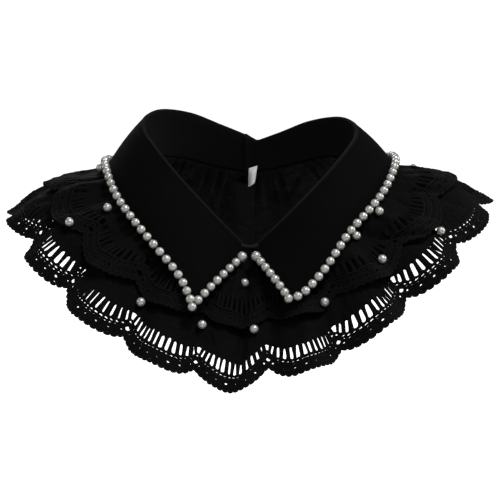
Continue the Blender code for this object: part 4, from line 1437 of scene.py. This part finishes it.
def wing_point(rows, side, angle, part):
    """Point of the collar's fall, from its fold (0) to its edge (1)."""
    fold = fold_point(side * angle)
    edge_angle = table_value(rows, angle, WING_COLUMNS.index("edge_angle"))
    edge_reach = table_value(rows, angle, WING_COLUMNS.index("edge_reach"))
    lift = table_value(rows, angle, WING_COLUMNS.index("lift"))
    if side > 0:
        edge_reach -= RIGHT_BLUNT * math.exp(-(angle / BLUNT_ANGLE) ** 2)
    edge = drape_point(side * edge_angle, edge_reach)
    edge = edge + drape_normal(side * edge_angle, edge_reach) * lift
    level = Vector((edge.x - fold.x, edge.y - fold.y, 0)).normalized()
    start = fold + level * FOLD_RADIUS - Vector((0, 0, FOLD_DEPTH))
    tilt = math.radians(BULGE_TILT)
    bulge = level * math.cos(tilt) + Vector((0, 0, math.sin(tilt)))
    middle = (start + edge) / 2 + bulge * FALL_BULGE
    rest = 1 - part
    return start * rest * rest + middle * 2 * rest * part + edge * part * part


def collar_section(rows, side, angle):
    """Section of a collar half: up the stand, round the roll and down the fall."""
    fold = fold_point(side * angle)
    fall = [wing_point(rows, side, angle, part) for part in even_parts(FALL_PARTS)]
    foot = ring_point(side * angle, "seam") + Vector((0, 0, STAND_LIFT - FOOT_DROP))
    across = Vector((fall[0].x - fold.x, fall[0].y - fold.y, 0))
    head = fold - across - Vector((0, 0, FOLD_DEPTH))
    stand = [foot.lerp(head, part) for part in even_parts(STAND_PARTS)]
    roll = []
    for step in range(1, FOLD_PARTS):
        turn = math.pi * step / FOLD_PARTS
        rise_here = Vector((0, 0, FOLD_DEPTH * (math.sin(turn) - 1)))
        roll.append(fold - across * math.cos(turn) + rise_here)
    return stand + roll + fall


def wrapped_end(section, part):
    """Section of the end that laps over the other half at the back, part of the way across."""
    apart = (COLLAR_THICKNESS + SEAM_GAP) * min(1.0, part * LAP_GROWTH)
    lapped = []
    for number, point in enumerate(section):
        turn = math.pi * min(max((number - STAND_PARTS) / FOLD_PARTS, 0.0), 1.0)
        shift = Vector((0, -math.cos(turn), math.sin(turn))) * apart
        lapped.append(point + shift - Vector((LAP_WIDTH * part, 0, 0)))
    return lapped


def painted_light_and_edge_at(part):
    """Painted highlight on the roll, painted light on the shaded stand, and a paler edge."""
    on_roll = (part - STAND_PARTS) / FOLD_PARTS
    if 0 < on_roll < 1:
        return math.sin(math.pi * on_roll)
    if part <= STAND_PARTS:
        return NECK_PAINTED_LIGHT
    return EDGE_LIGHTENING if part == STAND_PARTS + FOLD_PARTS + FALL_PARTS else 0.0


def build_collar(name, rows, side):
    """One half of the collar as a folded wall with rounded edges."""
    sections = [collar_section(rows, side, i * WING_STEP) for i in range(int(180 / WING_STEP) + 1)]
    if side > 0:
        sections += [wrapped_end(sections[-1], part) for part in LAP_PARTS]
    width = len(sections[0])
    points = [point for section in sections for point in section]
    faces = grid_faces(len(sections), width)
    if side > 0:
        faces = [tuple(reversed(face)) for face in faces]
    made = mesh_object(name, points, faces, "collar_cloth")
    # painted light: a painted highlight along the roll, some on the shaded stand, a paler edge
    set_attribute(made, "wear", [painted_light_and_edge_at(part) for _ in sections for part in range(width)])
    round_edges(thicken(made, COLLAR_THICKNESS), EDGE_ROUNDING, EDGE_SEGMENTS, EDGE_ANGLE)
    for vert in made.data.vertices:
        lapped = side > 0 and vert.co.y > 0
        if vert.co.x * side < SEAM_GAP / 2 * MM and not lapped:
            vert.co.x = side * SEAM_GAP / 2 * MM
    return made


collar_left = build_collar("collar_left_cloth", LEFT_WING_ROWS, -1)
collar_right = build_collar("collar_right_cloth", RIGHT_WING_ROWS, 1)
finish_piece(collar_left, "collar_cloth", "collar_left")
finish_piece(collar_right, "collar_cloth", "collar_right")

# %% [markdown]
# ## Pearls
# Pearls are sewn on one after another, each with its own stitch, so they almost touch. A path
# walks along the edge of the collar and drops a point at an even pitch, a little wider down the
# front, where the thread was left looser. The first bead of each string is a size larger. The
# loose pearls sit on the ruffles, each pushed out along the cloth's own normal.

# %% Place and make the pearls
PEARL_DIAMETER = 6.3
STRING_START = 11.0
END_BEAD_SIZE = 1.14
FRONT_EDGE_STEPS = 24
INNER_ANGLE = 6.0
INNER_PART = 0.94
EDGE_STEP = 1.0
FRONT_PITCH = 7.5
SIDE_PITCH = 7.4
BEAD_INSET = 1.0
PEARL_SINK = 0.1
LARGE_BEAD = {"segments": 24, "rings": 14}
PEARL_ROWS = (  # tier, angle and reach
    ("upper", -92.6, 35.0),
    ("upper", -60.0, 72.0),
    ("upper", -59.4, 43.0),
    ("lower", -32.6, 79.5),
    ("lower", -14.3, 72.5),
    ("upper", -1.0, 24.2),
    ("lower", 1.3, 67.5),
    ("upper", 23.7, 68.0),
    ("upper", 52.3, 41.0),
    ("upper", 41.0, 41.0),
    ("upper", 41.6, 68.0),
    ("lower", 61.5, 83.0),
    ("upper", 105.0, 52.0),
    ("lower", 130.0, 86.0),
    ("upper", 168.0, 50.0),
    ("lower", -128.0, 86.0),
    ("upper", -150.0, 50.0),
)


def bead_places(line, inner, start, pitch):
    """Places every pitch along a line, each with its direction and the way in from the edge."""
    places = []
    travelled = 0.0
    due = start
    for before, here, within in zip(line, line[1:], inner[1:]):
        length = (here - before).length
        along = (here - before).normalized()
        inward = within - here
        inward = (inward - along * inward.dot(along)).normalized()
        while due <= travelled + length:
            places.append((before + along * (due - travelled), along, inward))
            due += pitch
        travelled += length
    return places


def string_path(rows, side):
    """Places of the beads: down the front edge to the point, then along the edge to the back."""
    parts = even_parts(FRONT_EDGE_STEPS)
    front = [wing_point(rows, side, 0.0, part) for part in parts]
    front_inner = [wing_point(rows, side, INNER_ANGLE, part) for part in parts]
    angles = [step * EDGE_STEP for step in range(int(180 / EDGE_STEP) + 1)]
    edge = [wing_point(rows, side, angle, 1.0) for angle in angles]
    edge_inner = [wing_point(rows, side, angle, INNER_PART) for angle in angles]
    length = sum((b - a).length for a, b in zip(front, front[1:]))
    spaces = round((length - STRING_START) / FRONT_PITCH)
    pitch = (length - STRING_START) / spaces
    places = bead_places(front, front_inner, STRING_START, pitch)[:spaces]
    corner = bead_places(edge, edge_inner, 0.0, SIDE_PITCH)
    corner = [place for place in corner if abs(place[0].x) > PEARL_DIAMETER / 2 + SEAM_GAP]
    places.append((corner[0][0], corner[0][1], corner[0][2] + places[-1][2]))
    places += corner[1:]
    lift = COLLAR_THICKNESS / 2 + PEARL_DIAMETER / 2
    spots = []
    for number, (spot, along, inward) in enumerate(places):
        up = along.cross(inward).normalized()
        if up.z < 0:
            up.negate()
        size = END_BEAD_SIZE if number == 0 else 1.0
        spots.append((spot + inward * BEAD_INSET + up * lift, along, size))
    return spots


def cloth_pearls(wanted):
    """Places of the loose pearls on one tier."""
    spots = []
    for tier, angle, reach in PEARL_ROWS:
        if tier == wanted:
            normal = tier_normal(tier, angle, reach)
            above = CLOTH_THICKNESS / 2 + PEARL_DIAMETER / 2 - PEARL_SINK
            spots.append((tier_point(tier, angle, reach) + normal * above, normal, 1.0))
    return spots


def pearl_nodes(wanted):
    """Names of the nodes of the loose pearls on one tier."""
    return [f"pearl_{number:02d}" for number, row in enumerate(PEARL_ROWS, 1) if row[0] == wanted]


def pearls(name, spots, **shape):
    """Pearls at their spots."""
    return beads(name, spots, "pearl", PEARL_DIAMETER / 2, **shape)


edge_left = pearls("pearl_string_left", string_path(LEFT_WING_ROWS, -1))
edge_right = pearls("pearl_string_right", string_path(RIGHT_WING_ROWS, 1))
upper_pearls = pearls("pearls_on_upper_tier", cloth_pearls("upper"), **LARGE_BEAD)
lower_pearls = pearls("pearls_on_lower_tier", cloth_pearls("lower"), **LARGE_BEAD)
finish_piece(edge_left, "pearl", "pearl_edge_left")
finish_piece(edge_right, "pearl", "pearl_edge_right")
finish_piece(upper_pearls, "pearl", *pearl_nodes("upper"))
finish_piece(lower_pearls, "pearl", *pearl_nodes("lower"))

# %% [markdown]
# ## Label
# The label is satin tape, doubled over and caught in the neck seam, so it curls and hangs a
# little askew. It stays blank, and its place is found from the stand behind it.

# %% Label
LABEL_X = -1.3
LABEL_THICKNESS = 0.3
LABEL_OVERLAP = 3.0
LABEL_ANGLE = 172.0
LABEL_REST = 0.15
LABEL_CORNERS = ((0.35, 1.3), (6.8, -0.7), (4.9, 11.6), (0.0, 15.0))
LABEL_COLUMNS = 10
LABEL_ROWS = 22
LABEL_CURL = 3.0
LABEL_CURL_GROWTH = 2.5
LABEL_SWING = 1.5
LABEL_SWING_LEFT = 0.4
LABEL_TURN_START, LABEL_TURN = 0.93, 0.14
LAYER_GAP = 0.7


def stand_point(side, angle, part, clear):
    """Point beside the stand: part of the way up it, and clear of its middle (outwards is +)."""
    rows = LEFT_WING_ROWS if side < 0 else RIGHT_WING_ROWS
    section = collar_section(rows, side, angle)
    return section[0].lerp(section[STAND_PARTS], part) + outward(side * angle) * clear


def label_point(across, along):
    """Point of the doubled tape: along runs from 0 down to the fold at 1 and back up to 2."""
    down = along if along < 1 else 2 - along
    left_top, right_top, right_foot, left_foot = (Vector(corner) for corner in LABEL_CORNERS)
    flat = left_top.lerp(right_top, across).lerp(left_foot.lerp(right_foot, across), down)
    face = stand_point(1, LABEL_ANGLE, LABEL_REST, -(COLLAR_THICKNESS / 2 + SEAM_GAP)).y
    top = ring_point(180.0, "seam").z + STAND_LIFT + LABEL_OVERLAP
    back = LAYER_GAP * ease((along - LABEL_TURN_START) / LABEL_TURN)
    curl = LABEL_CURL * math.sin(math.pi * across) * ease(down * LABEL_CURL_GROWTH)
    swing = LABEL_SWING * down * (LABEL_SWING_LEFT + across)
    depth = face - LAYER_GAP - LABEL_THICKNESS + back - curl - swing
    return Vector((LABEL_X + flat.x, depth, top - flat.y))


def build_label():
    """The blank tab as one doubled strip of tape."""
    points = [
        label_point(column / LABEL_COLUMNS, row / LABEL_ROWS)
        for row in range(2 * LABEL_ROWS + 1)
        for column in range(LABEL_COLUMNS + 1)
    ]
    faces = grid_faces(2 * LABEL_ROWS + 1, LABEL_COLUMNS + 1)
    return thicken(mesh_object("blank_label", points, faces, "label_tape"), LABEL_THICKNESS)


label = build_label()
finish_piece(label, "label_tape", "label")

# %% [markdown]
# ## Bar tack and seam stitches
# The bar tack is thread wound round and round two core strands. It lies over the two folds
# where they meet at the front, so its place is measured from the finished collar. Each stitch
# of the neck seam is a tiny stretched bead that lies along the seam.

# %% Bar tack and seam stitches
TACK_REACH = 6.0
TACK_MIDDLE = 3.9
TACK_SAG = 0.7
TACK_SPAN = 1.6
TACK_HALF_HEIGHT = 1.1
TACK_HALF_DEPTH = 0.4
TACK_TURNS = 15
TACK_CORD = 0.34
TURN_POINTS = 12
CORE_HEIGHTS = (-0.5, 0.5)
CORE_CORD = 1.9
CORE_STEPS = 8
STITCH_RADIUS = 0.24
STITCH_SHAPE = {"segments": 6, "rings": 5, "length": 3.4, "uneven": 0.1}
SEAM_START, SEAM_STOP, SEAM_STEP = 3.0, 178.0, 1.86
SEAM_HEIGHT = 0.1
SEAM_SPAN = 0.5


def tack_place(part):
    """Middle of the bar at a part of its way across, on the front of the folds and sagging."""
    low = TACK_MIDDLE - TACK_SAG * math.sin(math.pi * part)
    return Vector((TACK_REACH * (2 * part - 1), TACK_FRONT - TACK_HALF_DEPTH, low))


def tack_lines():
    """Core strands of the bar tack, and the thread wound over them."""
    steps = TACK_TURNS * TURN_POINTS
    wound = []
    for step in range(steps + 1):
        turn = 2 * math.pi * step / TURN_POINTS
        spoke = Vector((0, math.cos(turn) * TACK_HALF_DEPTH, math.sin(turn) * TACK_HALF_HEIGHT))
        wound.append((tack_place(step / steps) + spoke, 1.0))
    lines = [wound]
    places = [tack_place(part) for part in even_parts(CORE_STEPS)]
    for height in CORE_HEIGHTS:
        lift = Vector((0, 0, height * TACK_HALF_HEIGHT))
        lines.append([(place + lift, CORE_CORD) for place in places])
    return lines


def stitch(spot, after):
    """Spot of a stitch that points from one place to the next."""
    return spot, (after - spot).normalized(), 1.0


def seam_stitches():
    """Stitches of the neck seam, inside the foot of the stand."""
    spots = []
    angle = SEAM_START
    while angle < SEAM_STOP:
        for side in (-1, 1):
            spots.append(stitch(*(
                stand_point(side, place, SEAM_HEIGHT, -COLLAR_THICKNESS / 2)
                for place in (angle, angle + SEAM_SPAN)
            )))
        angle += SEAM_STEP
    return spots


def stitches(name, spots):
    """Stretched beads at the spots of a seam's stitches."""
    return beads(name, spots, "lace_thread", STITCH_RADIUS, **STITCH_SHAPE)


TACK_FRONT = min(
    vert.co.y / MM
    for half in (collar_left, collar_right)
    for vert in half.data.vertices
    if abs(vert.co.x) < TACK_REACH * MM
    and abs(vert.co.z / MM + ORIGIN_HEIGHT - TACK_MIDDLE) < TACK_SPAN
)
tack = cords("front_bar_tack", tack_lines(), "tack_thread", TACK_CORD)
neck_stitches = stitches("neck_seam_stitches", seam_stitches())
finish_piece(tack, "collar_cloth", "front_tack")
finish_piece(neck_stitches, "collar_cloth")

# %% [markdown]
# ## Back opening
# The ruffles stay open at the back over a narrow placket, a plain strip cut straight and
# stitched down along both edges. It follows the waves of the lower ruffle at a small depth.

# %% Placket
PLACKET_LEFT = -11.0
PLACKET_RIGHT = 3.5
PLACKET_COLUMNS = 12
PLACKET_ROWS = 44
PLACKET_START = 8.0
PLACKET_REACH = 94.0
PLACKET_DEPTH = 3.2
PLACKET_WALL = 0.7
SEWING_INSET, SEWING_MARGIN, SEWING_PITCH, SEWING_SPAN = 1.5, 2.0, 2.4, 1.0
BACK_SPREAD = 1.3


def placket_point(x, reach, deeper=0.0):
    """Point of the strip that lies x to one side of the opening, under the lower ruffle."""
    spread = BACK_SPREAD + math.radians(reach * math.cos(drape_slope(180.0, reach)))
    angle = math.copysign(180 - abs(x) / spread, x)
    height = ruffle(angle, reach) - PLACKET_DEPTH - deeper
    return drape_point(angle, reach) + drape_normal(angle, reach) * height


def build_placket():
    """The strip under the back opening."""
    points = []
    for column in range(PLACKET_COLUMNS + 1):
        x = PLACKET_LEFT + (PLACKET_RIGHT - PLACKET_LEFT) * column / PLACKET_COLUMNS
        for row in range(PLACKET_ROWS + 1):
            reach = PLACKET_START + (PLACKET_REACH - PLACKET_START) * row / PLACKET_ROWS
            points.append(placket_point(x, reach))
    grid = grid_faces(PLACKET_COLUMNS + 1, PLACKET_ROWS + 1)
    faces = [(a, d, c, b) for a, b, c, d in grid]
    return thicken(mesh_object("back_placket_cloth", points, faces, "tier_cloth"), PLACKET_WALL)


def placket_stitches():
    """Rows of stitches along both long edges of the placket, on its inner side."""
    spots = []
    for x in (PLACKET_LEFT + SEWING_INSET, PLACKET_RIGHT - SEWING_INSET):
        reach = PLACKET_START + SEWING_MARGIN
        while reach < PLACKET_REACH - SEWING_MARGIN:
            ends = (placket_point(x, at, PLACKET_WALL / 2) for at in (reach, reach + SEWING_SPAN))
            spots.append(stitch(*ends))
            reach += SEWING_PITCH
    return spots


placket = build_placket()
placket_sewing = stitches("placket_stitches", placket_stitches())
finish_piece(placket, "tier_cloth", "back_placket")
finish_piece(placket_sewing, "tier_cloth")

# %% [markdown]
# ## Button and loop
# One small button with a thread loop closes the neck. The button is a disc with a raised rim
# and four holes, held by thread that crosses between them. The loop is two strands twisted
# together, as a hand-made loop is.

# %% Button and loop
BUTTON_DIAMETER = 8.0
BUTTON_THICKNESS = 2.0
BUTTON_SIDE = 6.5
BUTTON_RING = 40
BUTTON_ROUNDING, BUTTON_SEGMENTS, BUTTON_EDGE = 0.25, 3, 50.0
DISH_RADIUS = 2.9
DISH_DEPTH = 0.5
DISH_SLOPE, DISH_SPARE = 0.35, 0.1
HOLE_PLACE = 0.85
HOLE_RADIUS = 0.45
HOLE_CORNERS = 10
HOLE_SHARE = 0.93
THREAD_TURN = 0.5
THREAD_RADIUS = 0.2
LOOP_ROOT = 3.0
LOOP_CORD = 1.2
STRAND_PLACE, STRAND_RADIUS = 0.24, 0.27
LOOP_STEPS = 160
LOOP_TWISTS = 13


def button_centre():
    """Middle of the button's inner face, on the outside of the stand, left of the opening."""
    angle = 180 - math.degrees(BUTTON_SIDE / ring_point(90.0, "seam").x)
    clear = COLLAR_THICKNESS / 2 + SEAM_GAP
    face = stand_point(-1, angle, 0.0, clear).y
    return Vector((-BUTTON_SIDE, face + SEAM_GAP, stand_point(-1, angle, 0.5, clear).z))


def build_button():
    """A disc with a raised rim and four holes through it."""
    rings = [round_outline(0, 0, BUTTON_DIAMETER / 2, BUTTON_RING)]
    for x, z in ((1, 1), (1, -1), (-1, -1), (-1, 1)):
        rings.append(round_outline(x * HOLE_PLACE, z * HOLE_PLACE, HOLE_RADIUS, HOLE_CORNERS))
    for radius in (DISH_RADIUS + DISH_SLOPE, DISH_RADIUS):
        rings.append(round_outline(0, 0, radius, BUTTON_RING))

    def is_disc(x, z):
        """True outside the four holes."""
        away = math.hypot(abs(x) - HOLE_PLACE, abs(z) - HOLE_PLACE)
        return away > HOLE_RADIUS * HOLE_SHARE

    found, kept = flat_mesh(rings, [], is_disc)
    middle = button_centre() + Vector((0, BUTTON_THICKNESS / 2, 0))
    placed = [middle + Vector((point.x, 0, point.y)) for point in found]
    made = mesh_object("back_button_disc", placed, kept, "button", smooth=False)
    thicken(made, BUTTON_THICKNESS)
    for vert in made.data.vertices:
        away = math.hypot(vert.co.x / MM - middle.x, vert.co.z / MM + ORIGIN_HEIGHT - middle.z)
        if vert.co.y / MM > middle.y and away < DISH_RADIUS + DISH_SPARE:
            vert.co.y -= DISH_DEPTH * MM
    return round_edges(made, BUTTON_ROUNDING, BUTTON_SEGMENTS, BUTTON_EDGE)


def button_thread():
    """Sewing thread that crosses between the holes and holds the button on."""
    dish = button_centre() + Vector((0, BUTTON_THICKNESS - DISH_DEPTH, 0))
    root = button_centre() - Vector((0, SEAM_GAP, 0))
    lines = []
    for x in (-1, 1):
        start = Vector((x * HOLE_PLACE, 0, HOLE_PLACE))
        stop = Vector((-x * HOLE_PLACE, 0, -HOLE_PLACE))
        lift = Vector((0, THREAD_RADIUS, 0))
        over = [dish + end * THREAD_TURN + lift for end in (start, stop)]
        line = [root + start, dish + start, *over, dish + stop, root + stop]
        lines.append([(point, 1.0) for point in line])
    return lines


def loop_lines():
    """Two strands twisted round the path of the loop."""
    centre = button_centre() + Vector((0, LOOP_CORD / 2, 0))
    radius = BUTTON_DIAMETER / 2 + SEAM_GAP + LOOP_CORD / 2
    root = BUTTON_SIDE + LOOP_ROOT
    half_turn = math.pi * radius
    whole = 2 * root + half_turn
    lines = []
    for strand in (0, 1):
        line = []
        for step in range(LOOP_STEPS + 1):
            walked = whole * step / LOOP_STEPS
            turn = math.pi / 2 + math.pi * min(max((walked - root) / half_turn, 0), 1)
            away = Vector((math.cos(turn), 0, math.sin(turn)))
            straight = max(root - walked, walked - root - half_turn, 0)
            place = centre + away * radius + Vector((straight, 0, 0))
            twist = 2 * math.pi * (LOOP_TWISTS * step / LOOP_STEPS + strand / 2)
            spoke = away * math.cos(twist) + Vector((0, math.sin(twist), 0))
            line.append((place + spoke * LOOP_CORD * STRAND_PLACE, 1.0))
        lines.append(line)
    return lines


button = build_button()
button_sewing = cords("button_thread", button_thread(), "lace_thread", THREAD_RADIUS)
loop = cords("back_loop_cord", loop_lines(), "lace_thread", LOOP_CORD * STRAND_RADIUS)
finish_piece(button, "button", "back_button")
finish_piece(button_sewing, "button")
finish_piece(loop, "button", "back_loop")

# %% [markdown]
# ## Flat cuts and sizes
# A sheet of cloth remembers the flat shape it was cut from, so the ruffles, the label and the
# placket state their cuts here. The ruffles are long strips whose top edge is drawn up to the neck
# seam, and the collar halves are cut to shape and folded.

# %% State the flat cuts and print their sizes
def pattern_area(tier):
    """Flat area of a tier's chart in square metres, without its holes."""
    flat, faces = PATTERNS[tier][0]
    doubled = 0.0
    for face in faces:
        a, b, c = (Vector((flat[i][0] * SCALLOP_WIDTH, flat[i][1])) for i in face)
        doubled += abs((b - a).cross(c - a))
    return doubled / 2 * SCALLOPS[tier] * MM * MM


LABEL_CUT = (0.010, 0.030)
lower_cut = (LOWER_SCALLOPS * SCALLOP_WIDTH * MM, LOWER_REACH * MM)
upper_cut = (UPPER_SCALLOPS * SCALLOP_WIDTH * MM, UPPER_REACH * MM)
placket_cut = ((PLACKET_RIGHT - PLACKET_LEFT) * MM, (PLACKET_REACH - PLACKET_START) * MM)
pattern_area("lower")
pattern_area("upper")
for half, string in ((collar_left, edge_left), (collar_right, edge_right)):
    half_area(half)
cuts = {lower_tier: lower_cut, upper_tier: upper_cut, label: LABEL_CUT, placket: placket_cut}
for made, cut in cuts.items():
    print(f"{made.name}: wall {half_area(made):.5f} m2, cut {cut[0]:.3f} x {cut[1]:.3f} m")
